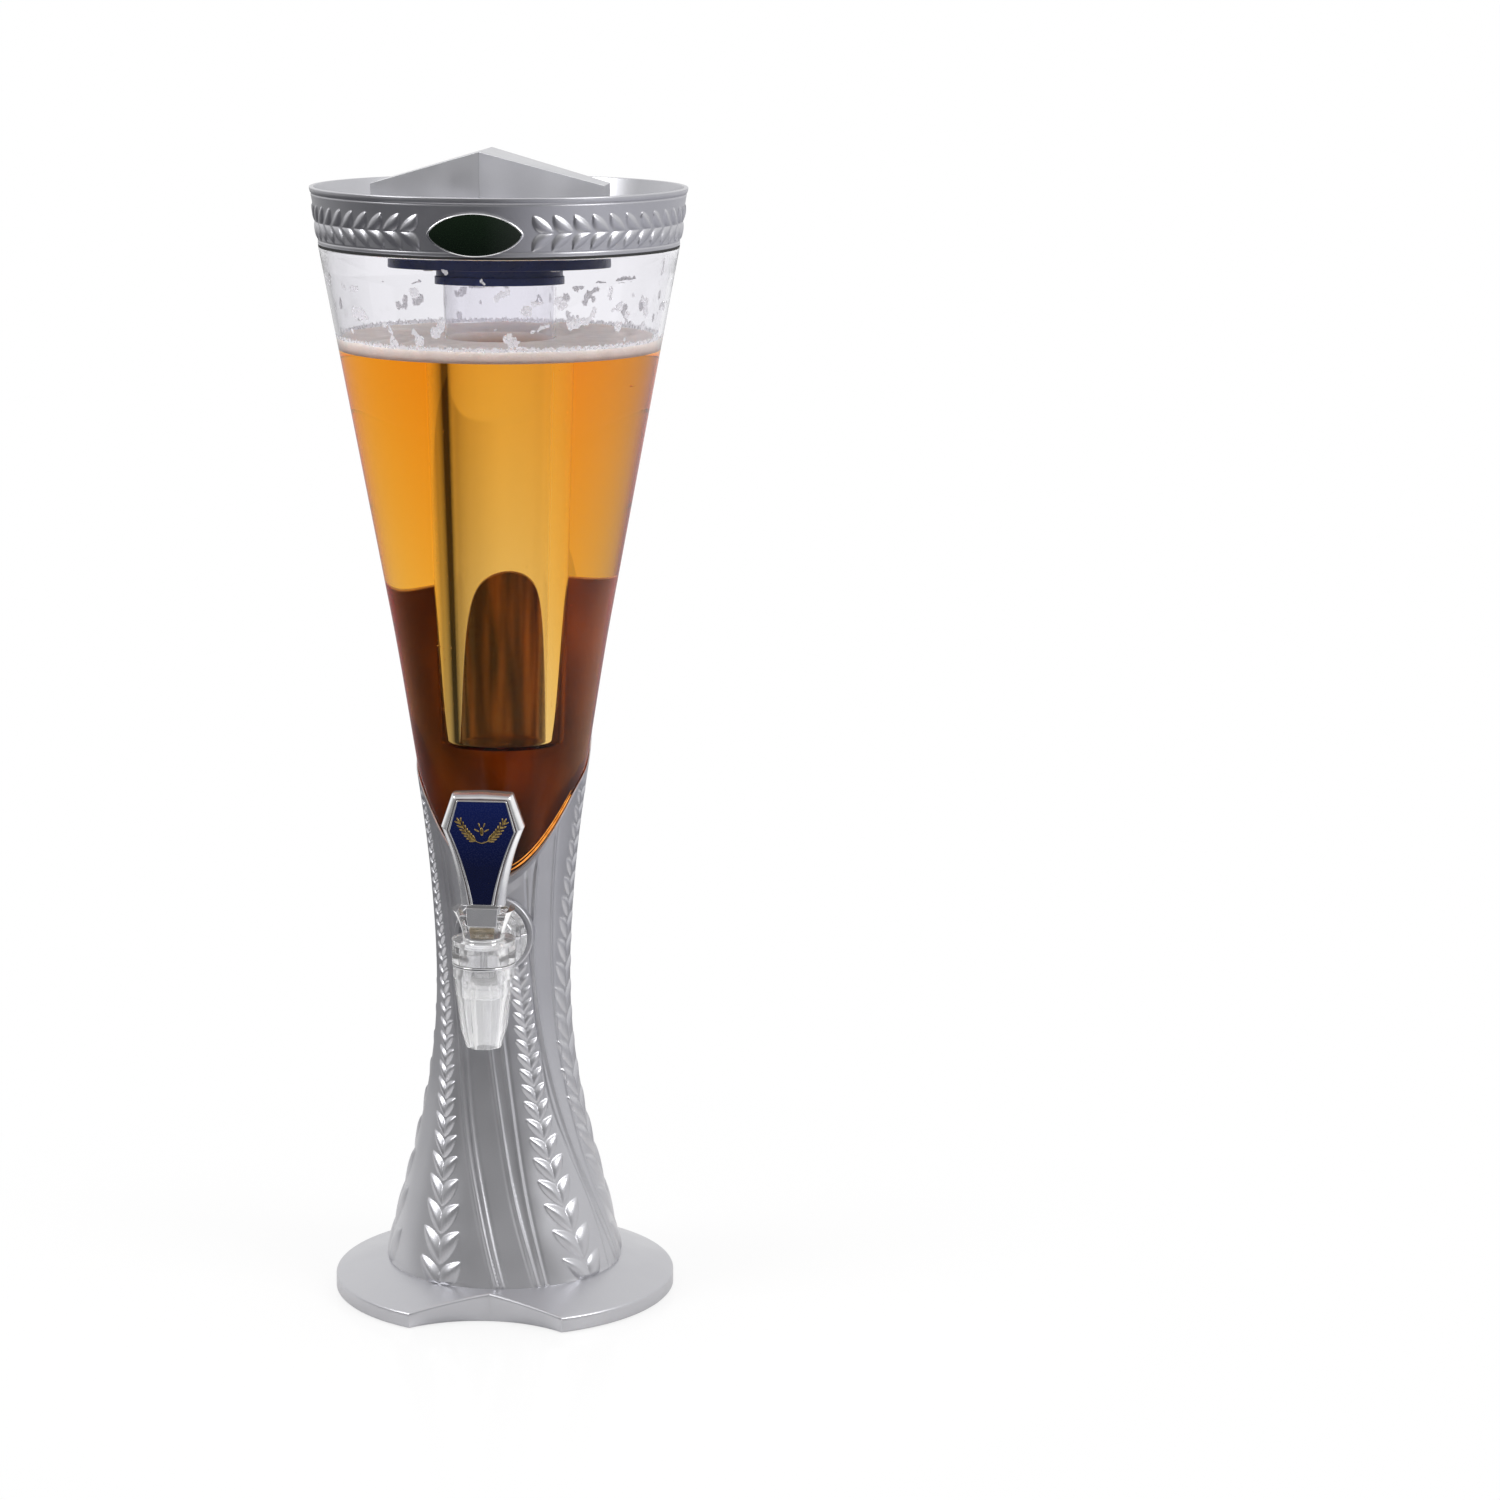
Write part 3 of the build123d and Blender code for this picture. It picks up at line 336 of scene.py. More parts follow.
def dress(node, material, edge, flat=False):
    """Gives a CAD node its finish and fine rounded edges; with flat, its level faces are merged first."""
    piece = NODES[node]
    piece.data.materials.clear()
    piece.data.materials.append(material)
    weld = piece.modifiers.new("Weld", "WELD")
    weld.merge_threshold = 0.002 * MM
    if flat:
        merge = piece.modifiers.new("Merge", "DECIMATE")
        merge.decimate_type = "DISSOLVE"
        merge.angle_limit = radians(0.5)
    if edge:
        bevel = piece.modifiers.new("Fine edges", "BEVEL")
        bevel.width = edge * MM
        bevel.segments = 3
        bevel.limit_method = "ANGLE"
        bevel.angle_limit = radians(30)
        bevel.use_clamp_overlap = True
    return piece


# ---- finishes ----
PLASTIC_IOR = 1.49
DRINK_IOR = 1.34
FINISHES = {}


class Nodes:
    """A node tree, with helpers that make a node and give back its result."""

    def __init__(self, tree):
        self.tree = tree
        self.place = self.node("ShaderNodeTexCoord").outputs

    def node(self, kind, **settings):
        made = self.tree.nodes.new(kind)
        for key, value in settings.items():
            setattr(made, key, value)
        return made

    def link(self, source, target):
        """Links a result to a socket, or gives the socket a plain value."""
        if isinstance(source, bpy.types.NodeSocket):
            self.tree.links.new(source, target)
        else:
            target.default_value = source

    def axes(self, vector):
        """The X, Y and Z parts of a vector."""
        made = self.node("ShaderNodeSeparateXYZ")
        self.link(vector, made.inputs["Vector"])
        return made.outputs

    def math(self, operation, *values):
        """The result of one operation on values or results."""
        made = self.node("ShaderNodeMath", operation=operation)
        for value, target in zip(values, made.inputs):
            self.link(value, target)
        return made.outputs["Value"]

    def remap(self, source, low, high, span=(0.35, 0.65), kind="LINEAR"):
        """Maps a value from a span to the range from low to high."""
        made = self.node("ShaderNodeMapRange", interpolation_type=kind)
        for value, target in zip((source, *span, low, high), made.inputs):
            self.link(value, target)
        return made.outputs["Result"]

    def mix(self, factor, first, second):
        """Mixes two values."""
        made = self.node("ShaderNodeMix", data_type="FLOAT")
        for value, place in ((factor, 0), (first, 2), (second, 3)):
            self.link(value, made.inputs[place])
        return made.outputs[0]

    def blend(self, factor, first, second, mode="MIX"):
        """Mixes two colours."""
        made = self.node("ShaderNodeMix", data_type="RGBA", blend_type=mode)
        for value, place in ((factor, 0), (first, 6), (second, 7)):
            self.link(value, made.inputs[place])
        return made.outputs[2]

    def noise(self, scale, detail=3.0, roughness=0.55, stretch=(1, 1, 1)):
        """A noise texture in the object's own coordinates, scale in waves per metre."""
        mapping, texture = self.node("ShaderNodeMapping"), self.node("ShaderNodeTexNoise")
        mapping.inputs["Scale"].default_value = stretch
        for socket, value in (("Scale", scale), ("Detail", detail), ("Roughness", roughness)):
            texture.inputs[socket].default_value = value
        self.link(self.place["Object"], mapping.inputs["Vector"])
        self.link(mapping.outputs["Vector"], texture.inputs["Vector"])
        return texture.outputs["Fac"]

    def cells(self, scale):
        """Distances in a pattern of round cells, scale in cells per metre."""
        texture = self.node("ShaderNodeTexVoronoi")
        texture.inputs["Scale"].default_value = scale
        self.link(self.place["Object"], texture.inputs["Vector"])
        return texture.outputs["Distance"]

    def tint(self, source, dark, light, span=(0.35, 0.65)):
        """Colours between dark and light, driven by a value."""
        made = self.node("ShaderNodeValToRGB")
        for stop, position, colour in zip(made.color_ramp.elements, span, (dark, light)):
            stop.position, stop.color = position, (*colour, 1)
        self.link(source, made.inputs["Fac"])
        return made.outputs["Color"]


class Finish(Nodes):
    """A Principled material, with helpers for its sockets."""

    def __init__(self, name, **sockets):
        self.material = bpy.data.materials.new(name)
        self.material.use_nodes = True
        super().__init__(self.material.node_tree)
        self.shader = self.tree.nodes["Principled BSDF"]
        self.output = self.tree.nodes["Material Output"]
        for socket, value in sockets.items():
            self.shader.inputs[socket.replace("_", " ").title().replace("Ior", "IOR")].default_value = value

    def colour(self, source):
        self.link(source, self.shader.inputs["Base Color"])

    def roughness(self, source):
        self.link(source, self.shader.inputs["Roughness"])

    def bump(self, source, strength, depth):
        """Adds fine relief from a value on top of any relief already there."""
        made = self.node("ShaderNodeBump")
        made.inputs["Strength"].default_value = strength
        made.inputs["Distance"].default_value = depth
        self.link(source, made.inputs["Height"])
        normal = self.shader.inputs["Normal"]
        if normal.is_linked:
            self.link(normal.links[0].from_socket, made.inputs["Normal"])
        self.link(made.outputs["Normal"], normal)

    def grained(self, grain, dark, light, rough=None, relief=None):
        """One grain drives the colour and, where they are given, a range of roughness and a relief."""
        self.colour(self.tint(grain, dark, light))
        if rough:
            self.roughness(self.remap(grain, *rough))
        if relief:
            self.bump(grain, *relief)
        return self.material

    def plated(self, low, high):
        """Polishing haze on plating: a range of roughness and a faint orange peel."""
        haze = self.noise(160, 4.0, 0.6)
        self.roughness(self.remap(haze, low, high))
        self.bump(self.noise(240, 2.0, 0.5), 0.03, 0.0001)
        return haze


def shade(colour, factor):
    """A colour made lighter or darker, no channel above 1."""
    return tuple(min(1.0, c * factor) for c in colour)


def finish(name):
    """The named finish, made once."""
    if name not in FINISHES:
        FINISHES[name] = MAKERS[name](bpy.context.scene.tower_finishes)
    return FINISHES[name]


def silver_paint(user):
    """Satin metallic paint with fine flake and a soft orange peel, left off where the moulding is bare; the
    bare dark plastic is tinted amber with streaks, painted light and reflections of the drink.
    """
    made = Finish("silver_paint", metallic=0.88, roughness=0.32)
    flake = made.noise(5200, 2.0, 0.6)
    paint = made.tint(flake, shade(user.silver, 0.96), shade(user.silver, 1.04))
    # Painted light: the bare moulding's amber tint and streaks stand in for the drink's light and its
    # reflections.
    streak = made.noise(80, 1.5, 0.4, (1, 1, 0.04))
    moulding = made.tint(streak, (0.03, 0.011, 0.003), (0.22, 0.095, 0.026), (0.4, 0.7))
    bare = made.node("ShaderNodeAttribute", attribute_name="bare")
    made.colour(made.blend(bare.outputs["Fac"], paint, moulding))
    made.roughness(made.remap(made.noise(38, 3.0, 0.5), 0.28, 0.355))
    made.bump(made.noise(900, 2.0, 0.5), 0.06, 0.0001)
    made.bump(flake, 0.02, 0.00005)
    return made.material


def chrome(user):
    """Bright plating with faint polishing haze."""
    made = Finish("chrome", metallic=1.0, roughness=0.05)
    made.colour(made.tint(made.plated(0.03, 0.09), shade(user.chrome, 0.97), user.chrome))
    return made.material


def bright_chrome(user):
    """Pale mirror plating over a white moulding, with a faint painted white glow and painted shade on faces
    that look up.
    """
    # Painted light: the weak white emission makes the plating glow.
    made = Finish(
        "bright_chrome", metallic=0.9, roughness=0.06, specular_ior_level=0.8, emission_color=(1, 1, 1, 1),
        emission_strength=0.06,
    )
    plate = made.tint(made.plated(0.05, 0.12), (0.93, 0.93, 0.94), (1.0, 1.0, 1.0))
    # Painted shade: faces that look up are darkened, standing in for the darker reflections they would show.
    facing = made.node("ShaderNodeNewGeometry").outputs["Normal"]
    upward = made.remap(made.axes(facing)["Z"], 0, 1, (0.12, 0.7))
    painted_up_shade = made.tint(upward, (1, 1, 1), (0.3, 0.29, 0.3), (0, 1))
    made.colour(made.blend(1.0, plate, painted_up_shade, "MULTIPLY"))
    return made.material


def groove_shade_chrome(user):
    """Painted shade: darker plating put on the faces deep in a groove."""
    made = Finish("groove_shade_chrome", metallic=0.9, roughness=0.25)
    return made.grained(made.noise(160, 4.0, 0.6), (0.16, 0.13, 0.13), (0.24, 0.2, 0.2))


def steel(user):
    """Turned stainless steel with fine circular tool marks."""
    made = Finish("steel", metallic=1.0, roughness=0.3)
    marks = made.noise(900, 2.0, 0.5, (1, 1, 0.05))
    return made.grained(marks, (0.42, 0.42, 0.43), (0.6, 0.6, 0.61), (0.22, 0.4), (0.15, 0.0001))


def clear_plastic(user, name="clear_plastic", ior=PLASTIC_IOR):
    """Clear moulded plastic with faint flow lines and a light wipe haze."""
    made = Finish(name, roughness=0.0, ior=ior, transmission_weight=1.0, specular_tint=(0.4, 0.4, 0.42, 1))
    flow = made.noise(22, 2.0, 0.4, (1, 1, 0.3))
    made.colour(made.tint(flow, shade(user.clear, 0.985), user.clear))
    made.roughness(made.remap(made.noise(60, 3.0, 0.6), 0.0, 0.018))
    made.bump(flow, 0.04, 0.0004)
    return made.material


def wet_plastic(user):
    """The same plastic where the drink touches it, with its refraction relative to the drink's."""
    return clear_plastic(user, "wet_plastic", PLASTIC_IOR / DRINK_IOR)


def crystal_plastic(user):
    """Clear plastic for the tap, slightly milky."""
    made = Finish("crystal_plastic", roughness=0.03, ior=PLASTIC_IOR, transmission_weight=0.85)
    flow = made.noise(70, 2.0, 0.4)
    return made.grained(flow, (0.96, 0.96, 0.975), (1.0, 1.0, 1.0), (0.02, 0.07), (0.03, 0.0003))


def amber_plastic(user):
    """Champagne-tinted clear plastic."""
    made = Finish("amber_plastic", roughness=0.05, ior=PLASTIC_IOR, transmission_weight=0.8)
    flow = made.noise(200, 2.0, 0.4)
    return made.grained(flow, (0.55, 0.47, 0.36), (0.8, 0.74, 0.62), (0.03, 0.12), (0.05, 0.0003))


def amber_glow_line(user):
    """Glowing amber strands: a painted highlight standing in for the drink's light refracted along the rim's
    edge.
    """
    # Painted light: the emission makes the strands glow.
    made = Finish("amber_glow_line", roughness=0.15, emission_color=(1.0, 0.30, 0.02, 1), emission_strength=0.4)
    return made.grained(made.noise(260, 2.0), (0.35, 0.1, 0.01), (0.8, 0.34, 0.06))


def navy_plastic(user):
    """Navy moulded plastic with a soft sheen."""
    made = Finish("navy_plastic", roughness=0.4, specular_ior_level=0.15)
    grain = made.noise(700, 3.0, 0.6)
    made.colour(made.tint(made.noise(40), shade(user.navy, 0.8), shade(user.navy, 1.15)))
    made.roughness(made.remap(grain, 0.26, 0.4))
    made.bump(grain, 0.08, 0.0001)
    return made.material


def black_plastic(user):
    """Grained black moulding."""
    made = Finish("black_plastic", roughness=0.5)
    grain = made.noise(1100, 3.0, 0.6)
    return made.grained(grain, (0.012, 0.012, 0.013), (0.03, 0.03, 0.032), (0.42, 0.6), (0.2, 0.0001))


def white_plastic(user):
    """Soft white sealing plastic."""
    made = Finish("white_plastic", roughness=0.45)
    grain = made.noise(500, 3.0, 0.6)
    return made.grained(grain, (0.62, 0.62, 0.6), (0.74, 0.74, 0.73), (0.4, 0.55), (0.1, 0.0001))


def cast_iron(user):
    """Sand-cast iron."""
    made = Finish("cast_iron", metallic=0.9, roughness=0.6)
    grain = made.noise(420, 5.0, 0.65)
    return made.grained(grain, (0.05, 0.05, 0.05), (0.12, 0.115, 0.11), (0.5, 0.75), (0.5, 0.0004))


def rubber(user):
    """Matt black rubber."""
    made = Finish("rubber", roughness=0.75)
    grain = made.noise(800, 3.0, 0.6)
    return made.grained(grain, (0.014, 0.014, 0.014), (0.03, 0.03, 0.03), (0.65, 0.85), (0.25, 0.0001))


def enamel(name, top, foot, low, high):
    """Glossy enamel that runs from one colour at its foot to another at its top."""
    made = Finish(name, roughness=0.3, coat_weight=0.45, coat_roughness=0.04, specular_ior_level=0.25)
    height = made.remap(made.axes(made.place["Object"])["Z"], 0, 1, (low * MM, high * MM))
    made.colour(made.tint(height, foot, top, (0, 1)))
    made.roughness(made.remap(made.noise(1500, 2.0, 0.5), 0.2, 0.32))
    made.bump(made.noise(120, 1.0, 0.4), 0.02, 0.0002)
    return made.material


def blue_enamel(user):
    """Blue enamel, royal at the top and navy at the foot."""
    return enamel("blue_enamel", user.blue, shade(user.blue, 0.35), 250, 285)


def green_enamel(user):
    """Dark bottle-green enamel."""
    return enamel("green_enamel", shade(user.green, 1.3), shade(user.green, 0.7), 568, 588)


def gilt(user):
    """Worn gilding for the fine ornament."""
    made = Finish("gilt", metallic=1.0, roughness=0.3)
    wear = made.noise(900, 4.0, 0.65)
    return made.grained(wear, (0.2, 0.13, 0.04), (0.5, 0.36, 0.14), (0.22, 0.45), (0.15, 0.0001))


def lager(user):
    """Clear golden drink, coloured by its depth; the plastic that it touches bends the light."""
    made = Finish("lager", roughness=0.0, ior=1.0, transmission_weight=1.0)
    depth = made.node("ShaderNodeVolumeAbsorption")
    depth.inputs["Color"].default_value = (*user.drink, 1)
    depth.inputs["Density"].default_value = user.drink_depth
    made.link(depth.outputs["Volume"], made.output.inputs["Volume"])
    made.colour(made.tint(made.noise(25, 2.0), (0.985, 0.985, 0.985), (1, 1, 1)))
    return made.material


def foam(user):
    """Creamy froth: fine bubbles over a soft translucent body, darker towards its bottom near the drink, with
    a faint painted glow.
    """
    # Painted light: the weak warm emission makes the froth glow.
    made = Finish(
        "foam", roughness=0.55, subsurface_weight=0.6, subsurface_radius=(0.006, 0.004, 0.003),
        subsurface_scale=0.6, emission_color=(1.0, 0.8, 0.66, 1), emission_strength=0.03,
    )
    cells, cloud = made.cells(900), made.noise(120, 4.0, 0.6)
    level = bpy.context.scene.tower_shape.drink_level
    depth = made.remap(made.axes(made.place["Object"])["Z"], 0, 1, (level, level + 6 * MM))
    darker_low = made.tint(depth, (0.42, 0.34, 0.315), (0.92, 0.92, 0.92), (0, 1))
    made.colour(made.blend(1.0, made.tint(cloud, shade(user.froth, 0.9), user.froth), darker_low, "MULTIPLY"))
    made.roughness(made.remap(cells, 0.35, 0.7, (0, 0.6)))
    made.bump(cells, 0.35, 0.0004)
    made.bump(cloud, 0.3, 0.001)
    return made.material


def lit_foam(user):
    """The underside of the froth, painted amber and glowing as a stand-in for the light that reaches it
    through the drink.
    """
    made = Finish("lit_foam", roughness=0.6, emission_strength=0.75, emission_color=(0.86, 0.40, 0.05, 1))
    return made.grained(made.noise(400, 3.0), (0.75, 0.45, 0.12), (0.85, 0.55, 0.2))


def froth_film(user):
    """Thin froth that dries on the clear wall, half see-through."""
    made = Finish("froth_film", roughness=0.3, ior=1.2, transmission_weight=0.55)
    cells = made.cells(1300)
    made.colour(made.tint(cells, (0.72, 0.70, 0.73), (0.93, 0.92, 0.94), (0, 0.5)))
    made.roughness(made.remap(made.noise(500), 0.15, 0.5))
    made.bump(cells, 0.4, 0.0003)
    return made.material


def air_bubble(user):
    """An air bubble inside the drink."""
    made = Finish("air_bubble", roughness=0.0, ior=1 / DRINK_IOR, transmission_weight=1.0)
    return made.grained(made.noise(300), (0.98, 0.98, 0.98), (1, 1, 1))


MAKERS = {
    maker.__name__: maker
    for maker in (
        silver_paint, chrome, bright_chrome, groove_shade_chrome, steel, clear_plastic, wet_plastic, crystal_plastic,
        amber_plastic, amber_glow_line, navy_plastic, black_plastic, white_plastic, cast_iron, rubber, blue_enamel,
        green_enamel, gilt, lager, foam, lit_foam, froth_film, air_bubble,
    )
}


# ---- relief of the column ----
SPINE_HEIGHTS = (20, 60, 110, 150, 180, 240, 300)
SPINE_ENDS = (10, 330)
EARS = [  # angles of an ear's spine at the heights above, its leaves' spacing there, their size, its top
    ((-26.5, -31.5, -41.5, -50, -56, -63, -69), (17, 13.2, 9.3, 7.6, 6.6, 5.4, 4.8), 1.0, 400),
    ((52.5, 41.8, 32.3, 26, 21.2, 13, 8), (17, 13.2, 9.3, 7.6, 6.6, 5.6, 5.0), 1.0, 215),
    ((104, 94, 79, 74.5, 75, 77, 82), (24, 20, 16, 15, 13.5, 10, 8), 1.05, 400),
]
RIBS = [  # angles of a double rib, and half the distance between its two ridges in millimetres
    ((4.2, -6.3, -21, -30, -36, -44, -52), (1.5, 1.7, 1.9, 2.0, 2.0, 1.8, 1.6)),
    ((24.5, 16.5, 8, 0.5, -4, -9, -14), (2.2, 2.9, 3.3, 3.4, 3.2, 2.6, 2.2)),
    ((82, 69.5, 57, 49, 44, 42, 46), (2.2, 3.0, 4.6, 5.4, 5.8, 5.4, 4.0)),
]
GROOVES = [((70, 63, 44, 37.5, 33, 25, 22), 0.8)]  # a groove's angles, and its share of a rib's height
LEAF_SIZES = ((20, 110, 200, 300), (1.05, 0.9, 0.78, 0.72))  # heights, and the leaves' size there
GROUND_DEPTH = 0.3  # how far an ear's ground is sunk
RIB_HALF = 1.25  # half width of a ridge
FLANK = (1.9, 0.8)  # from a ridge's middle to the groove beside it, and that groove's half width
GROOVE_HALF = 0.7


def along(table):
    """A table of values at the spine heights as a smooth function of height."""
    first = (table[1] - table[0]) / (SPINE_HEIGHTS[1] - SPINE_HEIGHTS[0])
    last = (table[-1] - table[-2]) / (SPINE_HEIGHTS[-1] - SPINE_HEIGHTS[-2])
    line = slopes_line(list(zip(table, SPINE_HEIGHTS)), (first, last))
    return lambda z: line(np.clip(z, *SPINE_ENDS))


def across(angle, z, spine):
    """Distance from a spine along the surface, in millimetres, positive to the right."""
    turn = (angle - np.radians(spine(z)) + pi) % (2 * pi) - pi
    return turn * column_radius(z)


def leaf(aside, up, length, width, lean):
    """Height, 0 to 1, of one leaf whose stalk is at (0, 0) and that leans outwards."""
    s = up * np.cos(lean) + aside * np.sin(lean)
    w = aside * np.cos(lean) - up * np.sin(lean)
    t = np.clip(s / length, 0, 1)
    w = w + 0.09 * length * np.sin(pi * t)
    half = width * length * np.sin(pi * t) ** 0.8 + 1e-6
    q = np.clip(np.abs(w) / half, 0, 1)
    body = 0.8 * (1 - q**2) ** 0.8 + 0.2 * (1 - q)
    return np.where((s > 0) & (s < length), body * np.sin(pi * t) ** 0.6 * (0.7 + 0.3 * t), 0)


def ear_relief(angle, z, spine, pitch, lean=35.0, length=1.42, width=0.205):
    """Leaf pairs up a spine: their height and the ear's own broad rise, both 0 to 1."""
    fine = np.linspace(*SPINE_ENDS, 641)
    count = np.concatenate([[0], np.cumsum(np.diff(fine) / pitch((fine[1:] + fine[:-1]) / 2))])
    side = across(angle, z, spine)
    local = pitch(z)
    place = np.interp(z, fine, count)
    height = np.zeros_like(z)
    for step in (0, 1):
        up = (place - np.floor(place) + step) * local
        height = np.maximum(height, leaf(np.abs(side), up, length * local, width, radians(lean)))
    return height, np.exp(-((side / (0.95 * local)) ** 4))


def column_relief(angle, z, shape):
    """Relief of the column's outer face in millimetres."""
    high = np.zeros_like(z)
    for turn in (0, 180):
        for spines, pitches, tall, end in EARS:
            spine, pitch = along([s + turn for s in spines]), along(pitches)
            leaves, ground = ear_relief(angle, z, spine, pitch)
            size = np.interp(z, *LEAF_SIZES) * np.clip((end - z) / 15, 0, 1)
            high += tall * shape.leaf_height / MM * size * leaves - GROUND_DEPTH * ground
        high += ribs_relief(angle, z, turn, shape)
    return high


def ribs_relief(angle, z, turn, shape):
    """Double ribs with a groove down their middle and one on each side."""
    high = np.zeros_like(z)
    tall = shape.rib_height / MM
    for spines, gaps in RIBS:
        side = across(angle, z, along([s + turn for s in spines]))
        gap = along(gaps)(z)
        for sign in (-1, 1):
            q = np.clip(np.abs(side - sign * gap) / RIB_HALF, 0, 1)
            high += tall * (1 - q**2) ** 1.5
        high -= 0.45 * tall * np.exp(-(((np.abs(side) - gap - FLANK[0]) / FLANK[1]) ** 2))
        high -= 0.35 * tall * np.exp(-((side / (0.45 * gap)) ** 4))
    for spines, depth in GROOVES:
        side = across(angle, z, along([s + turn for s in spines]))
        high -= depth * tall * np.exp(-((side / GROOVE_HALF) ** 2))
    return high


# ---- sizes, finishes and stage that a user may change ----
class TowerShape(bpy.types.PropertyGroup):
    """Sizes of the dressed pieces"""

    leaf_height: FloatProperty(
        name="Leaf height", description="How far the column's leaves stand out", default=1.65 * MM,
        min=0, max=2.5 * MM, unit="LENGTH",
    )
    rib_height: FloatProperty(
        name="Rib height", description="How far the column's ribs stand out", default=0.7 * MM,
        min=0, max=1.5 * MM, unit="LENGTH",
    )
    band_leaf_height: FloatProperty(
        name="Band leaf height", description="How far the leaves on the lid's band stand out",
        default=1.25 * MM, min=0, max=1.5 * MM, unit="LENGTH",
    )
    drink_level: FloatProperty(
        name="Drink level", description="Height of the drink above the table", default=512.2 * MM,
        min=400 * MM, max=540 * MM, unit="LENGTH",
    )
    froth_depth: FloatProperty(
        name="Froth depth", description="Depth of the froth on the drink", default=6.0 * MM,
        min=3 * MM, max=25 * MM, unit="LENGTH",
    )
    bubbles: IntProperty(name="Bubbles", description="Air bubbles in the drink", default=90, min=0, max=400)
    splashes: IntProperty(
        name="Splashes", description="Patches of dried froth on the clear wall", default=90, min=0, max=300
    )


class TowerFinishes(bpy.types.PropertyGroup):
    """Colours of the finishes"""

    silver: FloatVectorProperty(
        name="Silver paint", description="Colour of the column, foot and lid", subtype="COLOR",
        default=(0.50, 0.50, 0.525), min=0, max=1,
    )
    chrome: FloatVectorProperty(
        name="Chrome", description="Colour of the tap's plating", subtype="COLOR", default=(0.9, 0.9, 0.91),
        min=0, max=1,
    )
    clear: FloatVectorProperty(
        name="Clear plastic", description="Tint of the clear plastic", subtype="COLOR",
        default=(0.96, 0.955, 0.98), min=0, max=1,
    )
    navy: FloatVectorProperty(
        name="Navy plastic", description="Colour of the tube's cap", subtype="COLOR",
        default=(0.005, 0.013, 0.08), min=0, max=1,
    )
    blue: FloatVectorProperty(
        name="Blue enamel", description="Colour of the lever's inlay", subtype="COLOR",
        default=(0.004, 0.011, 0.085), min=0, max=1,
    )
    green: FloatVectorProperty(
        name="Green enamel", description="Colour of the lid's badge", subtype="COLOR",
        default=(0.003, 0.010, 0.003), min=0, max=1,
    )
    drink: FloatVectorProperty(
        name="Drink", description="Colour that the drink lets through", subtype="COLOR",
        default=(0.98, 0.75, 0.05), min=0, max=1,
    )
    drink_depth: FloatProperty(
        name="Drink depth", description="How strongly the drink takes its colour from its depth",
        default=34.0, min=0, max=100,
    )
    froth: FloatVectorProperty(
        name="Froth", description="Colour of the froth", subtype="COLOR",
        default=(1.0, 0.91, 0.86), min=0, max=1,
    )


class TowerStage(bpy.types.PropertyGroup):
    """Camera and lamps"""

    camera_place: FloatVectorProperty(
        name="Camera place", description="Where the camera stands", subtype="TRANSLATION",
        default=(0.2806, -2.1316, 0.7305),
    )
    heading: FloatProperty(
        name="Heading", description="Camera's turn to the left of straight ahead", default=radians(3.973),
        subtype="ANGLE",
    )
    pitch: FloatProperty(
        name="Pitch", description="Camera's tilt downwards", default=radians(11.399), subtype="ANGLE"
    )
    roll: FloatProperty(name="Roll", description="Camera's lean", default=radians(0.3675), subtype="ANGLE")
    lens: FloatProperty(name="Lens", description="Focal length in millimetres", default=98.4, min=20, max=300)
    key_power: FloatProperty(
        name="Key lamp", description="Power of the large lamp on the left",
        default=14.0, min=0, unit="POWER",
    )
    fill_power: FloatProperty(
        name="Fill lamp", description="Power of the large lamp on the right",
        default=14.0, min=0, unit="POWER",
    )
    room: FloatProperty(name="Room", description="Brightness of the room behind", default=1.0, min=0, max=2)
    room_front: FloatProperty(
        name="Room in front", description="Brightness of the room in front", default=0.12, min=0, max=2
    )


KEY_PLACE, KEY_SIZE = (-1.45, -0.75, 1.30), (0.8, 1.2)
FILL_PLACE, FILL_SIZE = (1.45, -0.75, 1.15), (0.8, 1.1)
LAMP_AIM = (0, 0, 0.3)
FLOOR_HALF = 60000.0


